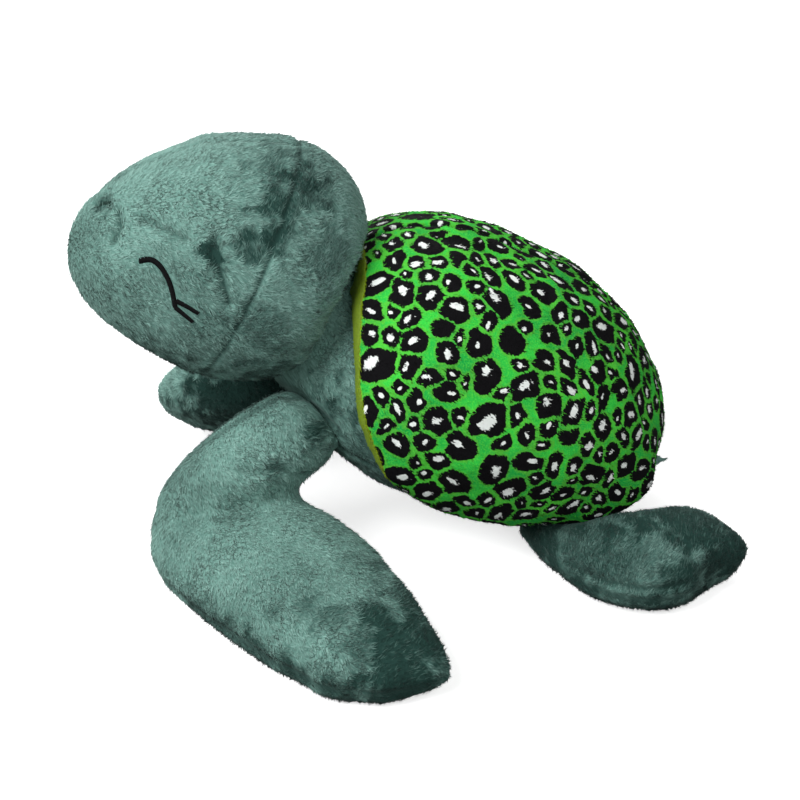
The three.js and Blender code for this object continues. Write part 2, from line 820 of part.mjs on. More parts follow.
function addHindFlippers() {
  const form = onFloor(pillowForm({
    rows: hindEdgeShares,
    place: hindPlace,
    halfThickness: hindHalfThickness,
    rings: hindRings,
    sides: flipperSides,
  }));
  const swing = { pivot: hindPlace(hindPivotShares), axis: zAxis, range: hindSwingRange };
  addLimbPair("hind", form, swing, rightHindTurn);
}

// The body and shell as a limb meets them over its swing
function limbNeighbours(swing) {
  const around = formSolid(bodyForm, joinGap).add(shellSolid(joinGap, 0, -joinGap));
  return sweptNeighbour(around, [swing]).add(belowFloor);
}

// The form on the other side of the turtle, turned about its own root
function otherSide(form, { pivot, axis, range }, turn) {
  const flip = new THREE.Matrix4().makeScale(-1, 1, 1);
  const root = pivot.clone().applyMatrix4(flip);
  const move = new THREE.Matrix4()
    .makeTranslation(root.x, root.y, root.z)
    .multiply(new THREE.Matrix4().makeRotationAxis(zAxis, turn))
    .multiply(new THREE.Matrix4().makeTranslation(-root.x, -root.y, -root.z));
  const across = axis.clone().applyMatrix4(flip).transformDirection(move).negate();
  return {
    form: movedForm(form, move.multiply(flip)),
    swing: { pivot: root, axis: across, range },
  };
}

function addLimbPair(name, form, swing, rightTurn) {
  addLimb(`${name}_left_flipper`, form, limbNeighbours(swing));
  const other = otherSide(form, swing, rightTurn);
  addLimb(`${name}_right_flipper`, other.form, limbNeighbours(other.swing));
}

// Tail: two layers of plush sewn to a point, with the root under the rim of the shell

const tailRings = 5;
const tailSides = 10;
const tailRootAlongShare = 0.006;
const tailRootLiftShare = -0.382;
const tailRound = 0.2;

function addTail() {
  const root = bodyPlace(
    tailRootAlongShare * bodyLength, tailRootLiftShare * bodyBottomHeight);
  const tip = root.clone().addScaledVector(yAxis, tailReachBack);
  const form = softForm({
    spine: straightSpine(root, tip),
    rings: tailRings,
    sides: tailSides,
    across: () => xAxis.clone(),
    width: (place) => tailHalfWidth * (1 - place),
    top: (place) => tailHalfThickness * (1 - place),
    bottom: (place) => tailHalfThickness * (1 - place),
    startRound: tailRound,
    endRound: tailRound,
  });
  const wag = { pivot: root, axis: zAxis, range: tailWagRange };
  const tail = formSolid(form).subtract(limbNeighbours(wag));
  const seam = zAxis.clone().multiplyScalar(seamGap / 2);
  const top = tail.intersect(blockBeyond(root.clone().add(seam), zAxis));
  const bottom = tail.intersect(blockBeyond(root.clone().sub(seam), zAxis.clone().negate()));
  addPiece("tail_top_panel", geometryFrom(top), plushColour);
  addPiece("tail_bottom_panel", geometryFrom(bottom), plushColour);
}

// Stitching: raised threads that follow the cheek

const headSurface = new THREE.Mesh(
  formGeometry(headForm),
  new THREE.MeshBasicMaterial({ side: THREE.DoubleSide }),
);
const threadSides = 6;
const eyeSteps = 12;
const lashSteps = 5;

// The point over the left cheek ahead of the head's middle, turned up from straight out
function cheekPoint(ahead, turn, lift) {
  const outwards = xAxis.clone().multiplyScalar(Math.cos(turn))
    .addScaledVector(headUp, Math.sin(turn));
  const from = headCentre.clone()
    .addScaledVector(headForward, ahead)
    .addScaledVector(outwards, cutterReach);
  const ray = new THREE.Raycaster(from, outwards.clone().negate());
  const [hit] = ray.intersectObject(headSurface);
  return hit.point.addScaledVector(outwards, joinGap + lift);
}

function threadAlong(points, radius, steps) {
  const section = new THREE.Shape();
  for (let i = 0; i < threadSides; i += 1) {
    const turn = (2 * Math.PI * i) / threadSides;
    const corner = [radius * Math.cos(turn), radius * Math.sin(turn)];
    if (i === 0) section.moveTo(...corner);
    else section.lineTo(...corner);
  }
  const path = new THREE.CatmullRomCurve3(points);
  return solidOf(new THREE.ExtrudeGeometry(section, {
    extrudePath: path,
    steps,
    bevelEnabled: false,
  }));
}

// Threads that run a share of the way from start to end, each place a length and a turn
function threadBetween(start, end, radius, steps) {
  const points = [];
  for (let i = 0; i <= steps; i += 1) {
    points.push(cheekPoint(
      THREE.MathUtils.lerp(start.ahead, end.ahead, i / steps),
      THREE.MathUtils.lerp(start.turn, end.turn, i / steps),
      radius / 2,
    ));
  }
  return threadAlong(points, radius, steps);
}

function addStitches(name, threads, colour) {
  const joined = threads.reduce((sum, thread) => sum.add(thread));
  const left = geometryFrom(joined.subtract(formSolid(headForm, joinGap)));
  addPiece(`${name}_left`, left, colour);
  addPiece(`${name}_right`, mirrored(left), colour);
}

// A closed eye: a quarter oval that falls towards the back, with two lashes at its low end
function addEyes() {
  const arc = [];
  for (let i = 0; i <= eyeSteps; i += 1) {
    const sweep = THREE.MathUtils.lerp(eyeArcStart, Math.PI / 2, i / eyeSteps);
    arc.push(cheekPoint(
      eyeAhead - eyeWidth * Math.sin(sweep),
      eyeTurn + eyeRise * Math.cos(sweep),
      eyeThreadRadius / 2,
    ));
  }
  const threads = [threadAlong(arc, eyeThreadRadius, eyeSteps)];
  for (const raised of [0, lashSpacing]) {
    const start = { ahead: eyeAhead - eyeWidth, turn: eyeTurn + raised };
    const drop = (lashLength * Math.sin(lashSlope)) / headHalfHeight;
    const end = {
      ahead: start.ahead - lashLength * Math.cos(lashSlope),
      turn: start.turn - drop,
    };
    threads.push(threadBetween(start, end, lashThreadRadius, lashSteps));
  }
  addStitches("eye_stitching", threads, threadColour);
}

// The nostrils: one tack of thread each side of the nose, pulled tight
function addNostrils() {
  const start = { ahead: nostrilAhead, turn: nostrilTurn };
  const end = { ahead: nostrilAhead - nostrilLength, turn: nostrilTurn };
  const tack = threadBetween(start, end, lashThreadRadius, lashSteps);
  addStitches("nostril_stitch", [tack], pinchColour);
}

addBody();
addShell();
addNeck();
addHead();
addFrontFlippers();
addHindFlippers();
addTail();
addEyes();
addNostrils();

export default group;
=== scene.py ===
"""Looks of the plush sea turtle: padded skins, seams, pile, print, stitching and studio.

Everything is in metres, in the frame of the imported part: the turtle faces -Y and its left
side is +X. Lists of creases, pulls and patches are in millimetres and are scaled when read.
Each stuffed piece starts from its CAD panels and filling, is blown up as cloth, and then gets
its seams, puckers and pile.
"""

import logging
import math
from collections.abc import Callable, Sequence
from dataclasses import dataclass, field
from enum import Enum

import bpy
import numpy as np
from mathutils import Matrix, Vector, noise
from mathutils.bvhtree import BVHTree
from mathutils.kdtree import KDTree


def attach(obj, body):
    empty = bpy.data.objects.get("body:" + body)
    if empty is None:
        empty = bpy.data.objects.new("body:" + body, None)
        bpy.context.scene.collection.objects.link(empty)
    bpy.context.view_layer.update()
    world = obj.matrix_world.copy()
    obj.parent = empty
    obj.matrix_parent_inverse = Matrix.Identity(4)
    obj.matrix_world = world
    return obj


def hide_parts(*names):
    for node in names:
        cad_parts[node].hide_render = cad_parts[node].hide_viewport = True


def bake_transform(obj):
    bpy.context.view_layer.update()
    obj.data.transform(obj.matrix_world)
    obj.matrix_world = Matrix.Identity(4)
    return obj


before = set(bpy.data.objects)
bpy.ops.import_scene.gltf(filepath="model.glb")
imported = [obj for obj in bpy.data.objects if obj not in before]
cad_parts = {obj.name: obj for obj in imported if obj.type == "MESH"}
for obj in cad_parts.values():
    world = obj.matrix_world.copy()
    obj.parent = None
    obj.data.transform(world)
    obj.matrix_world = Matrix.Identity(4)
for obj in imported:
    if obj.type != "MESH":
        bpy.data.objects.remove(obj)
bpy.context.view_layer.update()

LOG = logging.getLogger("turtle")
MM = 0.001

Point = tuple[float, float, float]
Colour = tuple[int, int, int]
Line = tuple[Point, ...]
Patches = tuple[tuple[float, ...], ...]
Tug = tuple[Point, Point, float]
Settings = dict[str | int, object] | None


def as_light(colour: Colour) -> tuple[float, float, float, float]:
    """Turn a colour as seen on a screen into the linear values that a shader takes.

    Args:
        colour: red, green and blue from 0 to 255.

    Returns:
        Linear red, green, blue and an alpha of 1.
    """
    parts = []
    for part in colour:
        share = part / 255
        parts.append(share / 12.92 if share <= 0.04045 else ((share + 0.055) / 1.055) ** 2.4)
    return (parts[0], parts[1], parts[2], 1.0)


class Wire:
    """One output of a material's nodes, on which arithmetic adds Math nodes."""

    def __init__(self, sheet: "NodeSheet", socket: bpy.types.NodeSocket) -> None:
        """Keep the sheet that the socket belongs to."""
        self.sheet = sheet
        self.socket = socket

    def _math(self, operation: str, *values: "Wire | float") -> "Wire":
        """Add one Math node that works on the values."""
        inputs = dict(enumerate(values))
        return self.sheet.add("ShaderNodeMath", {"operation": operation}, inputs)

    def __add__(self, other: "Wire | float") -> "Wire":
        """Sum of this and another value."""
        return self._math("ADD", self, other)

    __radd__ = __add__

    def __sub__(self, other: "Wire | float") -> "Wire":
        """This value less another."""
        return self._math("SUBTRACT", self, other)

    def __rsub__(self, other: float) -> "Wire":
        """A number less this value."""
        return self._math("SUBTRACT", other, self)

    def __mul__(self, other: "Wire | float") -> "Wire":
        """Product of this and another value."""
        return self._math("MULTIPLY", self, other)

    __rmul__ = __mul__

    def __abs__(self) -> "Wire":
        """This value without its sign."""
        return self._math("ABSOLUTE", self)

    def between(self, low: float, high: float) -> "Wire":
        """Rise smoothly from 0 at low to 1 at high.

        Args:
            low: the value that gives 0.
            high: the value that gives 1.

        Returns:
            The smoothed share between them.
        """
        return self.sheet.add(
            "ShaderNodeMapRange",
            {"interpolation_type": "SMOOTHSTEP"},
            {"Value": self, "From Min": low, "From Max": high},
        )


class NodeSheet:
    """The node tree of one material, with one way to add any node."""

    def __init__(self, name: str) -> None:
        """Start an empty material of that name.

        Args:
            name: what the material is called.
        """
        self.material = bpy.data.materials.new(name)
        self.material.use_nodes = True
        self.tree = self.material.node_tree
        self.tree.nodes.clear()

    def add(
        self, kind: str, settings: Settings = None, inputs: Settings = None, output: str | int = 0
    ) -> Wire:
        """Add a node and take one of its outputs.

        Args:
            kind: Blender's name for the node type.
            settings: properties that are set before its sockets.
            inputs: a value, colour or Wire for each socket, by name or number.
            output: the socket that is wanted.

        Returns:
            That output, which is empty for the node that closes a material.
        """
        made = self.tree.nodes.new(kind)
        for key, value in (settings or {}).items():
            setattr(made, key, value)
        for key, value in (inputs or {}).items():
            if isinstance(value, Wire):
                self.tree.links.new(value.socket, made.inputs[key])
            else:
                made.inputs[key].default_value = value
        return Wire(self, made.outputs[output] if len(made.outputs) else None)

    def place(self) -> Wire:
        """The place on the piece, in metres in the part's frame."""
        return self.add("ShaderNodeTexCoord", output="Object")

    def noise(self, place: Wire, size: float, detail: float = 2.0) -> Wire:
        """Cloudy values from 0 to 1, whose clouds are of that size."""
        inputs = {"Vector": place, "Scale": 1 / size, "Detail": detail}
        return self.add("ShaderNodeTexNoise", None, inputs)

    def streaks(self, turn: Point, width: float, length: float, detail: float) -> Wire:
        """Noise that runs over the piece as streaks.

        Args:
            turn: angles of the streaks about the three axes.
            width: how wide a streak is.
            length: how long a streak is.
            detail: how fine their edges are.

        Returns:
            Values from 0 to 1.
        """
        place = {"Vector": self.place(), "Rotation": turn}
        turned = self.add("ShaderNodeVectorRotate", {"rotation_type": "EULER_XYZ"}, place)
        scale = (1 / width, 1 / length, 1 / width)
        drawn = self.add("ShaderNodeVectorMath", {"operation": "MULTIPLY"}, {0: turned, 1: scale})
        return self.noise(drawn, 1, detail)

    def tint(self, share: Wire | float, low: object, high: object) -> Wire:
        """Mix two colours.

        Args:
            share: 0 for the first colour and 1 for the second.
            low: the first colour, as seen on a screen, or a Wire or linear values.
            high: the second colour, given in the same way.

        Returns:
            The mixed colour.
        """
        low, high = (
            as_light(colour) if isinstance(colour, tuple) and len(colour) == 3 else colour
            for colour in (low, high)
        )
        settings = {"data_type": "RGBA", "clamp_factor": True}
        return self.add("ShaderNodeMix", settings, {"Factor": share, 6: low, 7: high}, output=2)

    def mark(self, name: str) -> Wire:
        """A number that the mesh stores at each point under that name."""
        return self.add("ShaderNodeAttribute", {"attribute_name": name}, None, "Fac")

    def bump(self, height: Wire, depth: float, strength: float) -> Wire:
        """Turn a height from 0 to 1 into a normal.

        Args:
            height: the height.
            depth: what a height of 1 stands for, in metres.
            strength: share of the effect.

        Returns:
            The normal.
        """
        inputs = {"Height": height, "Distance": depth, "Strength": strength}
        return self.add("ShaderNodeBump", None, inputs, "Normal")

    def finish(self, inputs: dict[str, object]) -> bpy.types.Material:
        """Close the material with one Principled shader.

        Args:
            inputs: what its sockets take.

        Returns:
            The material.
        """
        shader = self.add("ShaderNodeBsdfPrincipled", None, inputs)
        self.add("ShaderNodeOutputMaterial", None, {"Surface": shader})
        return self.material


@dataclass(frozen=True)
class PlushFinish:
    """Short brushed plush: fine strands, open cracks, patches brushed against the nap, and painted
    shade on marked patches, in creases and darts, and towards the roots of the tufts.
    """

    name: str
    # tip is painted light on the tuft tips; dark serves brushed pile, dark seams and painted
    # shade.
    tip: Colour = (158, 196, 186)
    light: Colour = (136, 178, 167)
    middle: Colour = (84, 122, 113)
    dark: Colour = (30, 60, 54)
    crack: Colour = (44, 72, 66)
    sheen: Colour = (190, 220, 214)
    strand_length: float = 7 * MM
    strand_width: float = 1.3 * MM
    grain_size: float = 0.8 * MM
    crack_length: float = 6 * MM
    crack_gap: float = 3.2 * MM
    cracked_area: float = 26 * MM
    patch_size: float = 60 * MM
    relief: float = 0.9 * MM
    tip_share: float = 0.5
    crack_share: float = 0.6
    patch_share: float = 0.28
    brush_share: float = 0.95
    seam_share: float = 0.8

    def make(self) -> bpy.types.Material:
        """Build the material.

        Returns:
            The material.
        """
        sheet = NodeSheet(self.name)
        place = sheet.place()
        strands = sheet.streaks((0.9, 0.0, 0.3), self.strand_width, self.strand_length, 3)
        fine = sheet.noise(place, self.grain_size, 1)
        opened = sheet.streaks((0.5, 0.3, 0.2), self.crack_gap, self.crack_length, 3)
        where = sheet.noise(place, self.cracked_area).between(0.42, 0.62)
        cracks = abs(opened - 0.5).between(0.04, 0.0) * strands.between(0.3, 0.6) * where
        tuft, tone, tip = sheet.mark("tuft"), sheet.mark("tone"), sheet.mark("tip")
        grain = tuft * tone + (1 - tuft) * strands.between(0.3, 0.7) * 0.6
        patch = sheet.noise(place, self.patch_size, 3).between(0.42, 0.66)
        # The random patches are uneven tone; the marked patches are brushed pile and painted
        # shade.
        shade = patch * self.patch_share + sheet.mark("brush") * self.brush_share
        coat = sheet.tint(grain * 0.85 + fine * 0.15, self.middle, self.light)
        # Tuft tips are painted lighter than their roots: painted light on the tips and shade deep
        # in the pile.
        lit = sheet.tint(tip * self.tip_share, coat, self.tip)
        cracked = sheet.tint(cracks * self.crack_share, lit, self.crack)
        # Darkens the plush: uneven tone, brushed pile and painted shade.
        brushed = sheet.tint(shade * (1.15 - grain * 0.4), cracked, self.dark)
        # Dark seam lines, and painted shade along creases and darts.
        sewn = sheet.tint(sheet.mark("seam") * self.seam_share, brushed, self.dark)
        height = strands * 0.7 + fine * 0.3 - cracks
        return sheet.finish(
            {
                "Base Color": sewn,
                "Roughness": 0.9,
                "Specular IOR Level": 0.2,
                "Sheen Weight": 0.14,
                "Sheen Roughness": 0.45,
                "Sheen Tint": as_light(self.sheen),
                "Normal": sheet.bump(height, self.relief, 0.9),
            }
        )


@dataclass(frozen=True)
class PrintFinish:
    """Bright plush printed with ragged leopard spots, whose places the mesh stores."""

    name: str
    ground: Colour = (52, 204, 70)
    ground_deep: Colour = (20, 160, 66)
    ground_bright: Colour = (104, 232, 72)
    fringe: Colour = (104, 184, 44)
    spot: Colour = (9, 8, 11)
    heart: Colour = (232, 238, 234)
    hem: Colour = (132, 158, 16)
    # Colour of the dark seam, and of the painted shade in the dart and crease.
    sewn: Colour = (10, 34, 18)
    strand_width: float = 10 / 9 * MM
    strand_length: float = 3.125 * MM
    wobble: float = 7 * MM
    pile: float = 0.9 * MM
    wash: float = 34 * MM
    relief: float = 0.7 * MM
    spot_ragged: float = 0.46
    spot_uneven: float = 0.62
    heart_ragged: float = 1.3
    fringe_ragged: float = 0.5
    fringe_share: float = 0.45
    seam_share: float = 0.8

    def make(self) -> bpy.types.Material:
        """Build the material.

        Returns:
            The material.
        """
        sheet = NodeSheet(self.name)
        place = sheet.place()
        ragged = sheet.streaks((0.9, 0.0, 0.3), self.strand_width, self.strand_length, 2) - 0.5
        uneven = sheet.noise(place, self.wobble) - 0.5
        rim = sheet.mark("spot")
        frayed = rim + ragged * self.spot_ragged + uneven * self.spot_uneven
        spot = frayed.between(1.02, 0.95)
        middle = sheet.mark("heart") + ragged * self.heart_ragged + uneven * self.heart_ragged
        heart = middle.between(1.12, 0.88)
        pile = sheet.noise(place, self.pile)
        wash = sheet.noise(place, self.wash).between(0.35, 0.65)
        green = sheet.tint(wash, self.ground_deep, self.ground)
        # Tuft tips are painted brighter green: painted light on the tips and shade deep in the
        # pile; the pile noise is grain.
        bright = pile.between(0.4, 0.8) * 0.5 + sheet.mark("tip") * 0.35
        ground = sheet.tint(bright, green, self.ground_bright)
        fringe = (rim + ragged * self.fringe_ragged).between(1.3, 1.02)
        edged = sheet.tint(fringe * self.fringe_share, ground, self.fringe)
        spotted = sheet.tint(spot, edged, self.spot)
        printed = sheet.tint(heart * spot, spotted, self.heart)
        hemmed = sheet.tint(sheet.mark("hem"), printed, self.hem)
        # The centre seam is a dark line; the dart and crease get painted shade.
        sewn = sheet.tint(sheet.mark("seam") * self.seam_share, hemmed, self.sewn)
        return sheet.finish(
            {
                "Base Color": sewn,
                "Roughness": 0.85,
                "Specular IOR Level": 0.12,
                "Normal": sheet.bump(pile, self.relief, 0.6),
            }
        )


@dataclass(frozen=True)
class LiningFinish:
    """Smooth knit lining."""

    name: str
    colour: Colour = (122, 150, 14)
    shaded: Colour = (84, 104, 10)
    rib_width: float = 1 * MM
    rib_length: float = 2.5 * MM
    relief: float = 0.3 * MM

    def make(self) -> bpy.types.Material:
        """Build the material.

        Returns:
            The material.
        """
        sheet = NodeSheet(self.name)
        knit = sheet.streaks((0.0, 0.0, 0.0), self.rib_width, self.rib_length, 1)
        return sheet.finish(
            {
                "Base Color": sheet.tint(knit, self.shaded, self.colour),
                "Roughness": 0.75,
                "Normal": sheet.bump(knit, self.relief, 0.6),
            }
        )


@dataclass(frozen=True)
class ThreadFinish:
    """Satin stitched thread: fine strands laid side by side."""

    name: str
    colour: Colour
    gloss: Colour
    strand: float = 0.45 * MM
    relief: float = 0.25 * MM

    def make(self) -> bpy.types.Material:
        """Build the material.

        Returns:
            The material.
        """
        sheet = NodeSheet(self.name)
        strands = sheet.noise(sheet.place(), self.strand)
        return sheet.finish(
            {
                "Base Color": sheet.tint(strands.between(0.4, 0.8), self.colour, self.gloss),
                "Roughness": 0.7,
                "Specular IOR Level": 0.14,
                "Normal": sheet.bump(strands, self.relief, 0.8),
            }
        )


@dataclass(frozen=True)
class FloorFinish:
    """The pale studio floor, which meets the white of the backdrop."""

    name: str
    colour: Colour = (250, 250, 250)
    unseen: Colour = (128, 128, 128)
    glow: tuple[float, ...] = (0.62, 0.62, 0.62, 1.0)

    def make(self) -> bpy.types.Material:
        """Build the material.

        Returns:
            The material.
        """
        sheet = NodeSheet(self.name)
        seen = sheet.add("ShaderNodeLightPath", output="Is Camera Ray")
        return sheet.finish(
            {
                "Base Color": sheet.tint(seen, self.unseen, self.colour),
                "Roughness": 0.9,
                "Emission Color": sheet.tint(seen, (0, 0, 0), self.glow),
                "Emission Strength": 1.0,
            }
        )


def rows_of(
    items: bpy.types.bpy_prop_collection, key: str, width: int = 3, kind: type = float
) -> np.ndarray:
    """Read one property of every item of a mesh.

    Args:
        items: the points, faces or values.
        key: the property.
        width: how many numbers it has.
        kind: the kind of number.

    Returns:
        One row for each item.
    """
    values = np.zeros(len(items) * width, kind)
    items.foreach_get(key, values)
    return values.reshape(-1, width)


def mesh_points(obj: bpy.types.Object) -> np.ndarray:
    """The places of a mesh's points, one row each."""
    return rows_of(obj.data.vertices, "co")


def mesh_normals(obj: bpy.types.Object) -> np.ndarray:
    """The normals at a mesh's points, one row each."""
    return rows_of(obj.data.vertices, "normal")


def move_points(obj: bpy.types.Object, places: np.ndarray) -> None:
    """Put a mesh's points at new places, and none below the floor.

    Args:
        obj: the object.
        places: one row per point, which are pressed flat on the floor.
    """
    places[:, 2] = np.maximum(places[:, 2], 0.0)
    obj.data.vertices.foreach_set("co", places.ravel())
    obj.data.update()


def new_object(name: str, data: bpy.types.ID) -> bpy.types.Object:
    """Put a mesh, a camera or a lamp into the scene.

    Args:
        name: what it is called.
        data: the mesh, camera or lamp.

    Returns:
        The new object.
    """
    obj = bpy.data.objects.new(name, data)
    bpy.context.scene.collection.objects.link(obj)
    return obj


def dress_in(obj: bpy.types.Object, finish: bpy.types.Material) -> None:
    """Give an object one material, and smooth it all over.

    Args:
        obj: the object.
        finish: its material.
    """
    obj.data.materials.clear()
    obj.data.materials.append(finish)
    obj.data.polygons.foreach_set("use_smooth", [True] * len(obj.data.polygons))


def joined_copy(name: str, nodes: Sequence[str]) -> bpy.types.Object:
    """Copy the meshes of several CAD nodes into one new object.

    Args:
        name: what the new object is called.
        nodes: the CAD nodes.

    Returns:
        The new object.
    """
    points: list[Sequence[float]] = []
    faces: list[list[int]] = []
    for node in nodes:
        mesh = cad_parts[node].data
        base = len(points)
        points.extend(tuple(vertex.co) for vertex in mesh.vertices)
        faces.extend([base + i for i in polygon.vertices] for polygon in mesh.polygons)
    mesh = bpy.data.meshes.new(name)
    mesh.from_pydata(points, [], faces)
    return new_object(name, mesh)


def apply_modifiers(obj: bpy.types.Object) -> None:
    """Replace an object's mesh by what its modifiers make of it.

    Args:
        obj: the object.
    """
    graph = bpy.context.evaluated_depsgraph_get()
    made = bpy.data.meshes.new_from_object(obj.evaluated_get(graph))
    obj.modifiers.clear()
    old = obj.data
    obj.data = made
    made.name = obj.name
    bpy.data.meshes.remove(old)


def shape(obj: bpy.types.Object, kind: str, **settings: object) -> None:
    """Replace an object's mesh by what one modifier of that kind makes of it.

    Args:
        obj: the object.
        kind: Blender's name for the modifier.
        settings: the properties of the modifier.
    """
    modifier = obj.modifiers.new(kind.lower(), kind)
    for key, value in settings.items():
        setattr(modifier, key, value)
    apply_modifiers(obj)


def store_mark(obj: bpy.types.Object, name: str, values: np.ndarray) -> None:
    """Store a number at each point of a mesh for its material."""
    mark = obj.data.attributes.new(name, "FLOAT", "POINT")
    mark.data.foreach_set("value", values.astype(np.float32))


def read_mark(obj: bpy.types.Object, name: str) -> np.ndarray:
    """Read the number stored at each point of a mesh, or 0 where there is none.

    Args:
        obj: the object.
        name: what the numbers are called.

    Returns:
        One number for each point.
    """
    stored = obj.data.attributes.get(name)
    if stored is None:
        return np.zeros(len(obj.data.vertices))
    return rows_of(stored.data, "value", 1)[:, 0]


def lumps(places: np.ndarray, size: float, seed: float) -> np.ndarray:
    """Smooth random heights from about -1 to 1 at each place.

    Args:
        places: one row per point.
        size: the size of a lump.
        seed: moves the pattern, so that pieces differ.

    Returns:
        One height for each place.
    """
    return np.array([noise.noise(Vector(row)) for row in places / size + seed])


def unit(rows: np.ndarray) -> np.ndarray:
    """Each row scaled to a length of 1."""
    return rows / np.maximum(np.linalg.norm(rows, axis=1, keepdims=True), 1e-9)


def nearness(far: np.ndarray, width: float) -> np.ndarray:
    """Fall smoothly from 1 at no distance towards 0 past the width."""
    return np.exp(-((far / width) ** 2))


def tree_over(places: Sequence[Sequence[float]]) -> KDTree:
    """Sort places so that the nearest of them can be found.

    Args:
        places: one row per place.

    Returns:
        The sorted places.
    """
    tree = KDTree(len(places))
    for i, place in enumerate(places):
        tree.insert(Vector(place), i)
    tree.balance()
    return tree


def surface_of(obj: bpy.types.Object) -> BVHTree:
    """The surface of an object, for finding what is near it.

    Args:
        obj: the object.

    Returns:
        Its faces, sorted.
    """
    points = [vertex.co.copy() for vertex in obj.data.vertices]
    faces = [tuple(polygon.vertices) for polygon in obj.data.polygons]
    return BVHTree.FromPolygons(points, faces)


def far_from(places: np.ndarray, tree: BVHTree, gap: float) -> np.ndarray:
    """Tell which places are further than a gap from a surface."""
    return np.array([tree.find_nearest(Vector(row), gap)[0] is None for row in places])


def mesh_from(name: str, points: np.ndarray, corners: np.ndarray) -> bpy.types.Mesh:
    """Make a mesh of triangles.

    Args:
        name: what the mesh is called.
        points: one row per point.
        corners: the point numbers of the triangles, three each, in one row.

    Returns:
        The mesh.
    """
    mesh = bpy.data.meshes.new(name)
    mesh.vertices.add(len(points))
    mesh.vertices.foreach_set("co", points.astype(np.float32).ravel())
    mesh.loops.add(len(corners))
    mesh.loops.foreach_set("vertex_index", corners.astype(np.int32))
    mesh.polygons.add(len(corners) // 3)
    mesh.polygons.foreach_set("loop_start", np.arange(0, len(corners), 3, dtype=np.int32))
    mesh.update(calc_edges=True)
    return mesh


@dataclass(frozen=True)
class Scatter:
    """Random points on a skin, spread evenly over its area."""

    places: np.ndarray
    normals: np.ndarray
    corners: np.ndarray
    shares: np.ndarray

    @classmethod
    def over(cls, obj: bpy.types.Object, count: int, rng: np.random.Generator) -> "Scatter":
        """Throw points on a skin.

        Args:
            obj: the skin.
            count: how many points.
            rng: the seeded source of chance.

        Returns:
            The points, with the corners of the faces that they fell on.
        """
        mesh = obj.data
        mesh.calc_loop_triangles()
        corners = rows_of(mesh.loop_triangles, "vertices", 3, np.int32)
        points = mesh_points(obj)[corners]
        areas = np.linalg.norm(
            np.cross(points[:, 1] - points[:, 0], points[:, 2] - points[:, 0]), axis=1
        )
        picked = rng.choice(len(areas), count, p=areas / areas.sum())
        root, turn = np.sqrt(rng.random(count)), rng.random(count)
        shares = np.stack([1 - root, root * (1 - turn), root * turn], axis=1)
        places = (points[picked] * shares[:, :, None]).sum(axis=1)
        normals = (mesh_normals(obj)[corners[picked]] * shares[:, :, None]).sum(axis=1)
        return cls(places, unit(normals), corners[picked], shares)

    def kept(self, keep: np.ndarray) -> "Scatter":
        """Only the points for which keep is true."""
        parts = (self.places, self.normals, self.corners, self.shares)
        return Scatter(*(part[keep] for part in parts))

    def mark(self, obj: bpy.types.Object, name: str) -> np.ndarray:
        """Read a mark of the skin at each point, or 0 where the skin has none."""
        return (read_mark(obj, name)[self.corners] * self.shares).sum(axis=1)


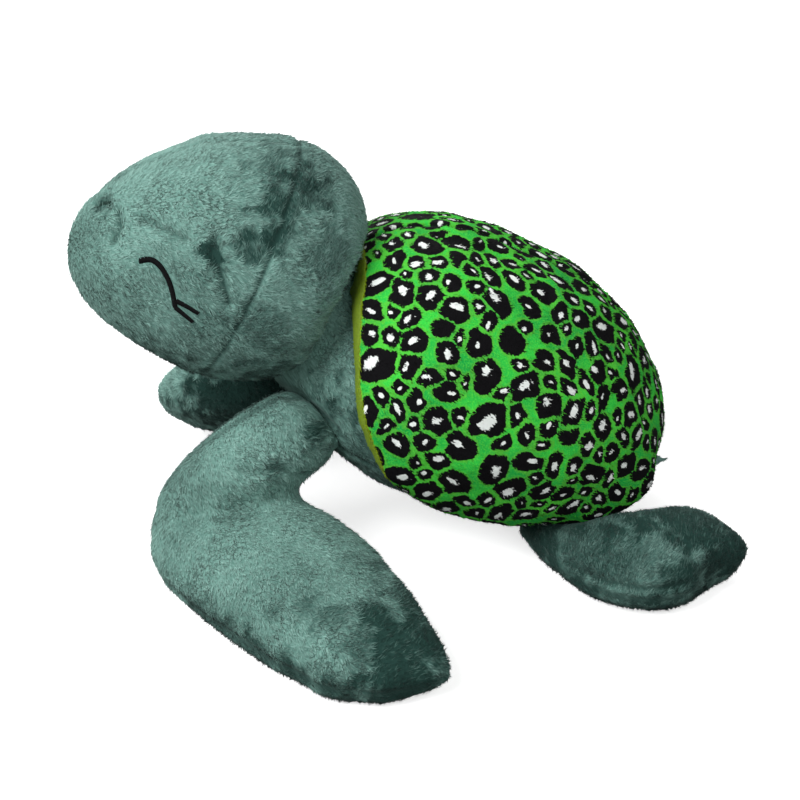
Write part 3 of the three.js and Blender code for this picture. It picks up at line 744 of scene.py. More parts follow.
@dataclass(frozen=True)
class Pile:
    """The pile of a plush skin: tapering tufts that lean along the nap."""

    tufts: int
    nap: Point
    length: float = 3.6 * MM
    width: float = 0.95 * MM
    lean: float = math.radians(27)
    sink: float = 0.4 * MM
    swirl: float = 0.8
    seed: int = 1
    swirl_size: float = 22 * MM
    clump_size: float = 2.8 * MM
    sway_size: float = 3 * MM

    def ways(self, roots: Scatter, brushed: np.ndarray, rng: np.random.Generator) -> np.ndarray:
        """Work out which way each tuft points.

        Args:
            roots: where the tufts stand.
            brushed: the mark of brushed pile and painted shade at each tuft, which turns it
                against the nap.
            rng: the seeded source of chance.

        Returns:
            One unit vector for each tuft.
        """
        normals = roots.normals
        nap = np.array(self.nap)
        flat = unit(nap - normals * (normals @ nap)[:, None])
        side = np.cross(normals, flat)
        turn = self.swirl * lumps(roots.places, self.swirl_size, self.seed + 0.3)
        turn += 0.3 * rng.standard_normal(len(normals)) + 2.0 * brushed
        flat = flat * np.cos(turn)[:, None] + side * np.sin(turn)[:, None]
        lean = self.lean * (1 + 0.3 * rng.standard_normal(len(normals)))
        return flat * np.cos(lean)[:, None] + normals * np.sin(lean)[:, None]

    def grow(
        self,
        name: str,
        skin: bpy.types.Object,
        finish: bpy.types.Material,
        marks: Sequence[str],
        keep: Callable[[np.ndarray], np.ndarray],
    ) -> bpy.types.Object:
        """Grow the pile on a skin.

        Args:
            name: what the pile is called.
            skin: the skin that it grows on.
            finish: its material.
            marks: the marks that tufts take over from the skin.
            keep: tells which roots may carry a tuft.

        Returns:
            The pile, one closed three-sided spike a tuft.
        """
        rng = np.random.default_rng(self.seed)
        roots = Scatter.over(skin, self.tufts, rng)
        roots = roots.kept((roots.mark(skin, "seam") < 0.5) & keep(roots.places))
        ways = self.ways(roots, roots.mark(skin, "brush"), rng)
        count = len(ways)
        clumps = lumps(roots.places, self.clump_size, self.seed + 0.6)
        length = self.length * (0.75 + 0.5 * rng.random(count)) * (1 + 0.3 * clumps)
        width = self.width * (0.75 + 0.5 * rng.random(count))
        centre = roots.places - roots.normals * self.sink
        side = unit(np.cross(ways, roots.normals))
        rise = np.cross(side, ways)
        points = np.stack(
            [
                centre + side * width[:, None] / 2,
                centre - side * width[:, None] / 2,
                centre + rise * width[:, None] * 0.45,
                centre + ways * length[:, None] - roots.normals * length[:, None] * 0.12,
            ],
            axis=1,
        )
        above = points[:, :, 2].min(axis=1) > 0.1 * MM
        points, count = points[above], int(above.sum())
        roots = roots.kept(above)
        pattern = np.array([[2, 0, 3], [1, 2, 3], [0, 1, 3], [0, 2, 1]])
        faces = (pattern[None] + 4 * np.arange(count)[:, None, None]).reshape(-1)
        obj = new_object(name, mesh_from(name, points.reshape(-1, 3), faces))
        tone = np.repeat(np.clip(rng.random(count) * 0.75 + 0.12 + 0.5 * clumps[above], 0, 1), 4)
        store_mark(obj, "tone", tone)
        store_mark(obj, "tuft", np.ones(4 * count))
        # The tip mark runs from root to tip, for tips painted lighter than roots: painted shade
        # deep in the pile.
        store_mark(obj, "tip", np.tile([0.0, 0.0, 0.25, 1.0], count))
        for mark in marks:
            store_mark(obj, mark, np.repeat(roots.mark(skin, mark), 4))
        sway = np.array([noise.noise_vector(Vector(row / self.sway_size)) for row in roots.places])
        lie = unit(roots.normals + 0.16 * rng.standard_normal((count, 3)) + 0.55 * sway)
        dress_in(obj, finish)
        obj.data.normals_split_custom_set_from_vertices(np.repeat(lie, 4, axis=0))
        self.lay_out(obj.data, count)
        LOG.info("%s: %d tufts", name, count)
        return obj

    def lay_out(self, mesh: bpy.types.Mesh, count: int) -> None:
        """Give each tuft its own cell of a UV map.

        Args:
            mesh: the mesh of the pile.
            count: how many tufts it has.
        """
        across = math.ceil(math.sqrt(count))
        cells = np.stack([np.arange(count) % across, np.arange(count) // across], axis=1)
        left, right, top, tip = (0.06, 0.06), (0.7, 0.06), (0.38, 0.94), (0.38, 0.36)
        base = ((0.78, 0.06), (0.86, 0.4), (0.94, 0.06))
        shape = np.array([top, left, tip, right, top, tip, left, right, tip, *base])
        layer = mesh.uv_layers.new(name="OFBake")
        spots = (cells[:, None, :] + shape[None]) / across
        layer.uv.foreach_set("vector", spots.astype(np.float32).ravel())


@dataclass
class SpotLayout:
    """Leopard spots of mixed sizes, thrown at random, that fill all but narrow green gaps."""

    rounds: tuple[tuple[float, float, int], ...] = (
        (10.6 * MM, 8.8 * MM, 30),
        (8.2 * MM, 6.4 * MM, 110),
        (6.4 * MM, 4.9 * MM, 260),
        (4.8 * MM, 3.3 * MM, 130),
    )
    gap: float = 1.3 * MM
    spread: float = 2.1 * MM
    green: float = 1.9 * MM
    fade: float = 6.0 * MM
    throws: int = 8000
    seed: int = 12
    stretch: float = 0.34
    shift: float = 0.16
    hollow: float = 0.97
    heart: tuple[float, float] = (0.32, 0.17)
    speck: float = 0.05
    narrowest: float = 0.55
    notched: float = 0.3
    notches: tuple[float, float] = (0.75, 0.15)
    neighbours: int = 6

    def throw(self, obj: bpy.types.Object, rng: np.random.Generator) -> dict[str, np.ndarray]:
        """Throw the spots, the largest first, each as large as the room round it allows.

        Args:
            obj: the skin that is printed.
            rng: the seeded source of chance.

        Returns:
            Their places, radii and axes.
        """
        places, radii, normals = np.zeros((0, 3)), np.zeros(0), np.zeros((0, 3))
        middle = mesh_points(obj).mean(axis=0)
        for largest, smallest, wanted in self.rounds:
            thrown = Scatter.over(obj, self.throws, rng)
            outer = ((thrown.places - middle) * thrown.normals).sum(axis=1) > 0
            thrown = thrown.kept(outer)
            left = wanted
            for place, normal in zip(thrown.places, thrown.normals):
                far = np.linalg.norm(places - place, axis=1) - radii - self.gap
                size = min(rng.uniform(smallest, largest), far.min(initial=1.0))
                if left and size >= smallest:
                    places = np.vstack([places, place])
                    radii = np.append(radii, size)
                    normals = np.vstack([normals, normal])
                    left -= 1
        along = np.cross(normals, rng.standard_normal(normals.shape))
        return {"place": places, "radius": radii, "normal": normals, "along": unit(along)}

    def print_on(self, obj: bpy.types.Object) -> None:
        """Store how far each point of a skin is from the middle of its spot and its heart.

        Args:
            obj: the skin that is printed.
        """
        rng = np.random.default_rng(self.seed)
        places = mesh_points(obj)
        spot, heart = np.full(len(places), 2.0), np.full(len(places), 9.0)
        for sign in (1, -1):
            spots = self.throw(obj, rng)
            count = len(spots["radius"])
            across = np.cross(spots["normal"], spots["along"])
            stretch = 1 + self.stretch * rng.random(count)
            shift = self.shift * rng.standard_normal((count, 2))
            open_inside = rng.random(count) < self.hollow
            least, more = self.heart
            share = np.where(open_inside, least + more * rng.random(count), self.speck)
            narrow = self.narrowest + (1 - self.narrowest) * rng.random(count)
            opening = rng.uniform(0, 2 * math.pi, count)
            deepest, slight = self.notches
            opened = np.where(
                rng.random(count) < self.notched, deepest, slight * rng.random(count)
            )
            tree = tree_over(spots["place"])
            here = np.nonzero(places[:, 0] * sign >= 0)[0]
            found = [tree.find_n(Vector(places[i]), self.neighbours) for i in here]
            near = np.array([[number for _, number, _ in row] for row in found])
            rims = []
            for column in near.T:
                off = places[here] - spots["place"][column]
                size = spots["radius"][column]
                u = (off * spots["along"][column]).sum(axis=1) / (size * stretch[column])
                v = (off * across[column]).sum(axis=1) / (size / stretch[column])
                deep = (off * spots["normal"][column]).sum(axis=1) / size
                far = np.sqrt(u * u + v * v + deep * deep)
                notch = np.maximum(np.cos(np.arctan2(v, u) - opening[column]), 0) ** 10
                rims.append((far * (1 + opened[column] * notch) - 1) * size)
                middle = shift[column]
                inner = np.hypot(u - middle[:, 0], (v - middle[:, 1]) / narrow[column])
                heart[here] = np.minimum(heart[here], (inner + deep * deep) / share[column])
            first, second = np.sort(rims, axis=0)[:2]
            out = np.maximum(first - self.spread, self.green / 2 - (second - first) / 2)
            spot[here] = 1 + out / self.fade
        store_mark(obj, "spot", spot)
        store_mark(obj, "heart", heart)


@dataclass
class Cloth:
    """Blows up the skins that it is given, all in one run."""

    pressure: float = 4.0
    frames: int = 18
    quality: int = 4
    skins: list[tuple[bpy.types.Object, float]] = field(default_factory=list)

    def take(self, obj: bpy.types.Object, cap: float) -> None:
        """Add a skin, whose points may move as far as the cap."""
        self.skins.append((obj, cap))

    def run(self) -> None:
        """Step the cloth once for all the skins and keep the result."""
        scene = bpy.context.scene
        for obj, _ in self.skins:
            modifier = obj.modifiers.new("cloth", "CLOTH")
            modifier.settings.use_pressure = True
            modifier.settings.uniform_pressure_force = self.pressure
            modifier.settings.effector_weights.gravity = 0.0
            modifier.settings.quality = self.quality
            modifier.point_cache.frame_start = 1
            modifier.point_cache.frame_end = self.frames
        for step in range(1, self.frames + 1):
            scene.frame_set(step)
        rests = [mesh_points(obj) for obj, _ in self.skins]
        for (obj, cap), rest in zip(self.skins, rests):
            apply_modifiers(obj)
            moved = mesh_points(obj) - rest
            far = np.linalg.norm(moved, axis=1, keepdims=True)
            share = np.minimum(1.0, cap / np.maximum(far, 1e-9))
            move_points(obj, rest + moved * share)
        scene.frame_set(1)


@dataclass(frozen=True)
class Pull:
    """A place where the filling pushes the skin out, or lets it fall in."""

    centre: Point
    move: Point
    reach: float

    def shift(self, places: np.ndarray) -> np.ndarray:
        """How far each place moves."""
        far = np.linalg.norm(places - np.array(self.centre), axis=1)
        return nearness(far, self.reach)[:, None] * np.array(self.move)


def in_metres(rows: Sequence[Point], side: int = 1) -> Line:
    """Places given in millimetres on the left side, in metres on either side.

    Args:
        rows: the places.
        side: 1 for the left and -1 for the right.

    Returns:
        The places.
    """
    return tuple((side * x * MM, y * MM, z * MM) for x, y, z in rows)


def pulls_at(rows: Sequence[Tug], side: int = 1) -> tuple[Pull, ...]:
    """Read pulls from a list.

    Args:
        rows: the centre, the move and the reach of each, in millimetres on the left side.
        side: 1 for the left and -1 for the right.

    Returns:
        The pulls.
    """
    return tuple(Pull(*in_metres((place, move), side), reach * MM) for place, move, reach in rows)


@dataclass(frozen=True)
class PlaneSeam:
    """A seam that lies in a plane, which draws the plush in along it."""

    point: Point
    normal: Point
    width: float = 2.4 * MM
    depth: float = 1.6 * MM
    dark: float = 1.0
    keep: Callable[[np.ndarray], np.ndarray] | None = None

    def closeness(self, places: np.ndarray) -> np.ndarray:
        """How near each place is to the seam, from 0 to 1.

        Args:
            places: one row per place.

        Returns:
            One share for each place.
        """
        normal = np.array(Vector(self.normal).normalized())
        far = np.abs((places - np.array(self.point)) @ normal)
        near = nearness(far, self.width)
        return near if self.keep is None else near * self.keep(places)


@dataclass(frozen=True)
class LineSeam:
    """A seam, dart or crease along a line of points, which draws the plush in along it; its dark
    share darkens a seam line, and paints shade along a dart or crease.
    """

    points: Line
    width: float = 2.6 * MM
    depth: float = 1.6 * MM
    dark: float = 1.0

    def closeness(self, places: np.ndarray) -> np.ndarray:
        """How near each place is to the line, from 0 to 1.

        Args:
            places: one row per place.

        Returns:
            One share for each place.
        """
        far = np.full(len(places), np.inf)
        corners = np.array(self.points)
        for start, end in zip(corners[:-1], corners[1:]):
            run = end - start
            share = np.clip(((places - start) @ run) / max(run @ run, 1e-12), 0, 1)
            gap = np.linalg.norm(places - (start + share[:, None] * run), axis=1)
            far = np.minimum(far, gap)
        return nearness(far, self.width)


@dataclass(frozen=True)
class BrushAndShadePatch:
    """A dark patch on the pile with a ragged edge: pile brushed the wrong way in some places,
    painted shade in others.
    """

    centre: Point
    reach: float
    strength: float = 0.7
    ragged: float = 1.0
    coarse: tuple[float, float] = (9 * MM, 0.9)
    fine: tuple[float, float] = (3.5 * MM, 0.5)
    outer: float = 1.1
    slope: float = 1.5

    def weight(self, places: np.ndarray) -> np.ndarray:
        """How much of the patch covers each place, with a ragged edge.

        Args:
            places: one row per place.

        Returns:
            One share for each place.
        """
        far = np.linalg.norm((places - np.array(self.centre)) / self.reach, axis=1)
        (coarse, deep), (fine, slight) = self.coarse, self.fine
        edge = deep * lumps(places, coarse, 5.3) + slight * lumps(places, fine, 2.1)
        inside = self.outer - far + self.ragged * edge
        return self.strength * np.clip(self.slope * inside, 0, 1)


def brushed_at(
    rows: Sequence[tuple[float, ...]], side: int = 1, ragged: float = 1.0
) -> tuple[BrushAndShadePatch, ...]:
    """Read the patches of brushed pile and of painted shade from a list.

    Args:
        rows: x, y, z, how far each patch reaches in mm, and how dark it is.
        side: 1 for the left and -1 for the right.
        ragged: how uneven their edges are.

    Returns:
        The patches.
    """
    return tuple(
        BrushAndShadePatch((side * x * MM, y * MM, z * MM), reach * MM, dark, ragged)
        for x, y, z, reach, dark in rows
    )


def edge_between(
    first: str, second: str, gap: float = 0.6 * MM, step: float = 1.5 * MM
) -> tuple[np.ndarray, ...]:
    """Find where two CAD panels meet.

    Args:
        first: the panel whose edges are walked.
        second: the panel that it is sewn to.
        gap: how near the two have to be.
        step: how far apart the points are that it gives.

    Returns:
        Points along the shared edge.
    """
    tree = tree_over([vertex.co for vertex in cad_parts[second].data.vertices])
    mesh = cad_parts[first].data
    near = [tree.find(vertex.co)[2] < gap for vertex in mesh.vertices]
    found = []
    for edge in mesh.edges:
        a, b = edge.vertices
        if near[a] and near[b]:
            start, end = np.array(mesh.vertices[a].co), np.array(mesh.vertices[b].co)
            steps = max(2, int(np.linalg.norm(end - start) / step))
            found.extend(start + (end - start) * i / steps for i in range(steps + 1))
    return tuple(found)


@dataclass(frozen=True)
class SewnEdge:
    """The seam round a flipper, where its upper and lower panels meet."""

    places: tuple[np.ndarray, ...]
    width: float = 2.4 * MM
    depth: float = 1.3 * MM
    dark: float = 0.55
    flat: float = 1.5 * MM

    def closeness(self, places: np.ndarray) -> np.ndarray:
        """How near each place is to the seam, from 0 to 1.

        Args:
            places: one row per place.

        Returns:
            One share for each place.
        """
        tree = tree_over(self.places)
        far = np.array([tree.find(Vector(row))[2] for row in places])
        return nearness(np.maximum(far - self.flat, 0), self.width)


Seam = PlaneSeam | LineSeam | SewnEdge


@dataclass
class StuffedPiece:
    """One stuffed piece of the turtle, made over its CAD panels and filling."""

    name: str
    nodes: tuple[str, ...]
    finish: bpy.types.Material
    material_slot: str = "plush"
    voxel: float = 4 * MM
    swell: float = 2.5 * MM
    facets_eased: int = 6
    finer: int = 2
    plump: float = 0.0
    formed_over: tuple[str, ...] = ()
    lump_size: float = 24 * MM
    lump_depth: float = 0.9 * MM
    seed: float = 1.0
    seams: tuple[Seam, ...] = ()
    brush_and_shade_patches: tuple[BrushAndShadePatch, ...] = ()
    pulls: tuple[Pull, ...] = ()
    fill: float = 0.8
    pile: Pile | None = None
    pile_marks: tuple[str, ...] = ("brush", "seam")
    bare_lines: tuple[LineSeam, ...] = ()
    obj: bpy.types.Object | None = None

    def cut_out(self, cloth: Cloth) -> None:
        """Make the even skin and hand it to the cloth.

        Args:
            cloth: what blows the skin up.
        """
        self.obj = joined_copy(self.name, (*self.nodes, *self.formed_over))
        shape(self.obj, "REMESH", mode="VOXEL", voxel_size=self.voxel)
        shape(self.obj, "SMOOTH", factor=0.5, iterations=self.facets_eased)
        cloth.take(self.obj, self.swell)

    def dress(self) -> bpy.types.Object:
        """Give the blown skin its seams, puckers and finish, and mark dark seams, brushed pile and
        painted shade for its material.

        Returns:
            The finished piece, which rides on nothing yet.
        """
        obj = self.obj
        shape(obj, "SUBSURF", levels=self.finer, render_levels=self.finer)
        places = mesh_points(obj)
        places += sum((pull.shift(places) for pull in self.pulls), np.zeros_like(places))
        move_points(obj, places)
        normals = mesh_normals(obj)
        # sewn holds dark seam lines, and painted shade along darts and creases.
        sewn = np.zeros(len(places))
        height = np.full(len(places), self.plump)
        for seam in self.seams:
            near = seam.closeness(places)
            height -= seam.depth * near
            sewn = np.maximum(sewn, seam.dark * near**3)
        height += self.lump_depth * lumps(places, self.lump_size, self.seed)
        move_points(obj, places + normals * height[:, None])
        # Brushed pile, and painted shade on undersides, in creases and on parts turned from the
        # light.
        brush = np.zeros(len(places))
        for brush_and_shade_patch in self.brush_and_shade_patches:
            brush = np.maximum(brush, brush_and_shade_patch.weight(places))
        store_mark(obj, "seam", sewn)
        store_mark(obj, "brush", brush)
        dress_in(obj, self.finish)
        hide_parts(*self.nodes)
        LOG.info("%s: %d faces", self.name, len(obj.data.polygons))
        return obj

    def reach_to(self, neighbour: BVHTree, reach: float) -> None:
        """Draw the sewn root of the piece out to what it is sewn to.

        Args:
            neighbour: the surface that it is sewn to.
            reach: how far from that surface the drawing starts.
        """
        places = mesh_points(self.obj)
        for i, place in enumerate(places):
            nearest, _, _, far = neighbour.find_nearest(Vector(place), reach)
            if nearest is None or far < 1e-6:
                continue
            pull = (1 - far / reach) ** 2
            places[i] += (np.array(nearest) - place) * pull
        move_points(self.obj, places)

    def grow_pile(self, neighbours: Sequence[tuple[BVHTree, float]]) -> bpy.types.Object:
        """Grow the pile, but for where other pieces come near it and where it is stitched.

        Args:
            neighbours: the surfaces that the pile keeps clear of, and by how much.

        Returns:
            The pile, which rides on nothing yet.
        """

        def keep(places: np.ndarray) -> np.ndarray:
            """Whether tufts may stand at each place.

            Args:
                places: one row per place.

            Returns:
                True where a tuft may stand.
            """
            free = np.ones(len(places), bool)
            for neighbour, gap in neighbours:
                free &= far_from(places, neighbour, gap)
            for line in self.bare_lines:
                free &= line.closeness(places) < 0.4
            return free

        name = self.name.replace("_cover", "_pile")
        coat = self.pile.grow(name, self.obj, self.finish, self.pile_marks, keep)
        return coat


def hinged(seat: Point, axis: Point, angle: float) -> Matrix:
    """The motion of what turns on a hinge.

    Args:
        seat: a point on the hinge.
        axis: the way that the hinge points.
        angle: how far it turns, in radians.

    Returns:
        The motion.
    """
    turn = Matrix.Rotation(angle, 4, Vector(axis))
    return Matrix.Translation(Vector(seat)) @ turn @ Matrix.Translation(-Vector(seat))


@dataclass(frozen=True)
class SatinStitch:
    """A line of satin stitch: thread laid across a path in close loops."""

    width: float = 3.0 * MM
    end_share: float = 1.0
    thread: float = 0.34 * MM
    pitch: float = 0.5 * MM
    rise: float = 1.1 * MM
    slant: float = math.radians(14)
    steps: int = 7
    sides: int = 6

    def centres(self, corners: np.ndarray) -> np.ndarray:
        """Round the corners of a path, and step along it loop by loop.

        Args:
            corners: one row per corner of the path.

        Returns:
            The middle of each loop.
        """
        for _ in range(3):
            ahead = corners[:-1] * 0.75 + corners[1:] * 0.25
            after = corners[:-1] * 0.25 + corners[1:] * 0.75
            middle = np.stack([ahead, after], axis=1).reshape(-1, 3)
            corners = np.vstack([corners[:1], middle[1:-1], corners[-1:]])
        run = np.append(0, np.cumsum(np.linalg.norm(np.diff(corners, axis=0), axis=1)))
        at = np.arange(0, run[-1], self.pitch)
        return np.stack([np.interp(at, run, corners[:, axis]) for axis in range(3)], axis=1)

    def lay(self, path: Sequence[Point], surface: BVHTree) -> tuple[np.ndarray, np.ndarray]:
        """Lay the loops of thread over a surface.

        Args:
            path: corners of the line.
            surface: what is stitched.

        Returns:
            The points of the loops, and the corners of their triangles.
        """
        centres = self.centres(np.array(path))
        points, faces = [], []
        ways = unit(np.gradient(centres, axis=0))
        for i, (centre, way) in enumerate(zip(centres, ways)):
            nearest, normal, _, _ = surface.find_nearest(Vector(centre))
            up = np.array(normal)
            across = unit(np.cross(up, way)[None])[0]
            lie = across * math.cos(self.slant) + way * math.sin(self.slant)
            share = 1 + (self.end_share - 1) * i / max(len(centres) - 1, 1)
            faces.append(self.tube_faces() + len(points) * (2 + self.sides * (self.steps + 1)))
            points.append(self.loop(np.array(nearest), up, lie, share))
        return np.vstack(points), np.concatenate(faces)

    def loop(self, foot: np.ndarray, up: np.ndarray, lie: np.ndarray, share: float) -> np.ndarray:
        """One arch of thread.

        Args:
            foot: the middle of the loop, on the surface.
            up: away from the surface.
            lie: along the thread.
            share: share of the full width.

        Returns:
            Its points: an end, the rings and the other end.
        """
        turns = np.linspace(0.08, 0.92, self.steps + 1) * math.pi
        reach, rise = self.width * share / 2, self.rise * (0.5 + 0.5 * share)
        spine = (
            foot
            - np.cos(turns)[:, None] * lie * reach
            + (np.sin(turns)[:, None] * rise - 0.3 * MM) * up
        )
        tangent = unit(np.gradient(spine, axis=0))
        out = unit(np.cross(up, lie)[None])[0]
        over = np.cross(tangent, out)
        around = np.linspace(0, 2 * math.pi, self.sides, endpoint=False)
        ring = (
            spine[:, None]
            + self.thread * np.cos(around)[None, :, None] * out
            + self.thread * np.sin(around)[None, :, None] * over[:, None]
        )
        start = spine[:1] - tangent[:1] * self.thread
        end = spine[-1:] + tangent[-1:] * self.thread
        return np.vstack([start, ring.reshape(-1, 3), end])

    def tube_faces(self) -> np.ndarray:
        """Corner numbers of the triangles round one loop, its ends closed.

        Returns:
            Three numbers for each triangle, in one row.
        """
        sides, last = self.sides, 1 + self.sides * (self.steps + 1)
        faces = []
        for j in range(sides):
            k = (j + 1) % sides
            faces.append((0, 1 + k, 1 + j))
            faces.append((last, last - sides + j, last - sides + k))
            for step in range(self.steps):
                a, b = 1 + step * sides, 1 + (step + 1) * sides
                faces.append((a + j, a + k, b + k))
                faces.append((a + j, b + k, b + j))
        return np.array(faces).reshape(-1)


def stitch_piece(
    name: str,
    node: str,
    finish: bpy.types.Material,
    laid: Sequence[tuple[np.ndarray, np.ndarray]],
) -> bpy.types.Object:
    """Join laid threads into the piece that stands for a CAD stitching.

    Args:
        name: what the piece is called.
        node: the CAD node that it replaces.
        finish: its material.
        laid: the points and triangles of each line of stitches.

    Returns:
        The piece.
    """
    points, faces, base = [], [], 0
    for places, corners in laid:
        points.append(places)
        faces.append(corners + base)
        base += len(places)
    obj = new_object(name, mesh_from(name, np.vstack(points), np.concatenate(faces)))
    dress_in(obj, finish)
    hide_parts(node)
    LOG.info("%s: %d faces", name, len(obj.data.polygons))
    return obj


class Side(Enum):
    """The left or the right of the turtle, with the sign of X there."""

    LEFT = 1
    RIGHT = -1

    @property
    def word(self) -> str:
        """The word for this side in the names of nodes."""
        return self.name.lower()


@dataclass
class Torso:
    """The body and the neck, in one skin."""

    neck_seat: Point = (0.0, -133.24 * MM, 136.13 * MM)
    neck_up: Point = (0.0, -0.71934, 0.69466)
    neck_bend: float = 12 * MM
    belly_seam: Point = (0.0, -41.8 * MM, 46.7 * MM)
    body_pitch: float = math.radians(20)
    pile_gap: float = 7 * MM
    tufts: int = 52000
    # Drawn in and painted darker: painted shade in the throat crease.
    throat_crease: Line = ((37.2, -148.9, 105.6), (49.7, -139.4, 101.2), (57, -130.4, 93.8))
    # Painted shade: by the throat crease, and on the chest under the head and the shell's rim.
    dark_patches: Patches = ((52, -140, 96, 16, 0.5), (60, -95, 80, 60, 0.65))
    nodes: tuple[str, ...] = (
        "belly_panel",
        "body_left_panel",
        "body_right_panel",
        "body_stuffing",
        "neck_panel",
        "neck_stuffing",
    )

    def piece(self, finish: bpy.types.Material) -> StuffedPiece:
        """Describe the skin.

        Args:
            finish: the material of the plush.

        Returns:
            The skin, which is not made yet.
        """
        up = (0.0, math.sin(self.body_pitch), math.cos(self.body_pitch))
        return StuffedPiece(
            "body_and_neck_cover",
            self.nodes,
            finish,
            voxel=4.5 * MM,
            seed=3.1,
            facets_eased=8,
            seams=(
                PlaneSeam(self.belly_seam, up, dark=0.6),
                PlaneSeam((0.0, 0.0, 0.0), (1.0, 0.0, 0.0), dark=0.6),
                LineSeam(in_metres(self.throat_crease), 4 * MM, 2.5 * MM, 0.7),
            ),
            brush_and_shade_patches=brushed_at(self.dark_patches),
            pile=Pile(self.tufts, (0.0, 0.75, -0.55), seed=31),
        )

    def fasten(self, obj: bpy.types.Object) -> None:
        """Write the skin's placement into its points."""
        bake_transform(obj)


@dataclass
class Shell:
    """The padded shell: a printed cover, and the lining that is turned up at its rim."""
    corners: tuple[Tug, ...] = (
        ((70.0, 48.0, 54.0), (4.0, 10.0, -3.0), 22.0),
        ((81.0, 26.0, 40.0), (3.0, 3.0, -7.0), 20.0),
        ((0.0, 78.0, 24.0), (0.0, 0.0, 2.0), 18.0),
    )
    hem_turn: float = 5.0 * MM
    hem_front: float = -95 * MM
    hem_rise: float = 15 * MM
    lining_lift: float = 0.35 * MM
    lining_thickness: float = 1.0 * MM
    pile_gap: float = 5 * MM
    tail_gap: float = 10 * MM
    tufts: int = 49000
    tuft_length: float = 2.4 * MM
    # The dart and the crease are drawn in and painted a little darker: painted shade in them.
    dart: Line = (
        (14.5, -63.3, 196.2), (18.7, -45.8, 192.0), (19.6, -27.7, 185.0), (34.3, -2.5, 169.7),
        (68.4, -4.5, 149.8),
    )
    crease: Line = ((45.3, 26.4, 147.0), (64.4, 31.4, 127.2))

    def cover(self, finish: bpy.types.Material) -> StuffedPiece:
        """Describe the printed cover.

        Args:
            finish: the material of the print.

        Returns:
            The cover, which is not made yet.
        """
        return StuffedPiece(
            "shell_cover",
            ("shell_left_panel", "shell_right_panel", "shell_stuffing"),
            finish,
            material_slot="printed_plush",
            voxel=4.5 * MM,
            swell=2.0 * MM,
            facets_eased=8,
            plump=1.2 * MM,
            formed_over=("shell_lining",),
            lump_size=30 * MM,
            lump_depth=1.4 * MM,
            seed=9.4,
            pulls=pulls_at(self.corners) + pulls_at(self.corners, -1),
            seams=(
                PlaneSeam((0.0, 0.0, 0.0), (1.0, 0.0, 0.0), 2.2 * MM, 2.2 * MM),
                LineSeam(in_metres(self.dart), 4 * MM, 1.8 * MM, 0.3),
                LineSeam(in_metres(self.crease), 4 * MM, 1.6 * MM, 0.3),
            ),
            pile=Pile(
                self.tufts, (0.0, 0.8, -0.3), self.tuft_length, lean=math.radians(32), seed=47
            ),
            pile_marks=("spot", "heart", "hem"),
        )

    def print_on(self, obj: bpy.types.Object) -> None:
        """Print the spots on the cover, and mark where the lining is turned up.

        Args:
            obj: the finished cover.
        """
        SpotLayout().print_on(obj)
        lining = surface_of(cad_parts["shell_lining"])
        printed = [surface_of(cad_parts[f"shell_{side.word}_panel"]) for side in Side]
        hem = []
        for row in mesh_points(obj):
            place = Vector(row)
            nearest = min(panel.find_nearest(place)[3] for panel in printed)
            turned = min(max((self.hem_front - row[1]) / self.hem_rise, 0), 1) * self.hem_turn
            hem.append(float(lining.find_nearest(place)[3] < nearest + turned))
        store_mark(obj, "hem", np.array(hem))

    def lining(self, cover: bpy.types.Object, finish: bpy.types.Material) -> bpy.types.Object:
        """Make the lining: a thin closed layer on the cover's underside and turned-up rim.

        Args:
            cover: the finished printed cover, with its hem mark.
            finish: the material of the lining.

        Returns:
            The lining.
        """
        hem = read_mark(cover, "hem")
        places = mesh_points(cover) + mesh_normals(cover) * self.lining_lift
        corners = rows_of(cover.data.polygons, "vertices", 4, np.int32)
        corners = corners[hem[corners].min(axis=1) > 0.5]
        used, numbers = np.unique(corners, return_inverse=True)
        mesh = bpy.data.meshes.new("shell_lining_cloth")
        mesh.from_pydata(places[used].tolist(), [], numbers.reshape(-1, 4).tolist())
        obj = new_object("shell_lining_cloth", mesh)
        shape(obj, "SOLIDIFY", thickness=self.lining_thickness, offset=-1.0)
        dress_in(obj, finish)
        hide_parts("shell_lining")
        LOG.info("%s: %d faces", obj.name, len(obj.data.polygons))
        return obj


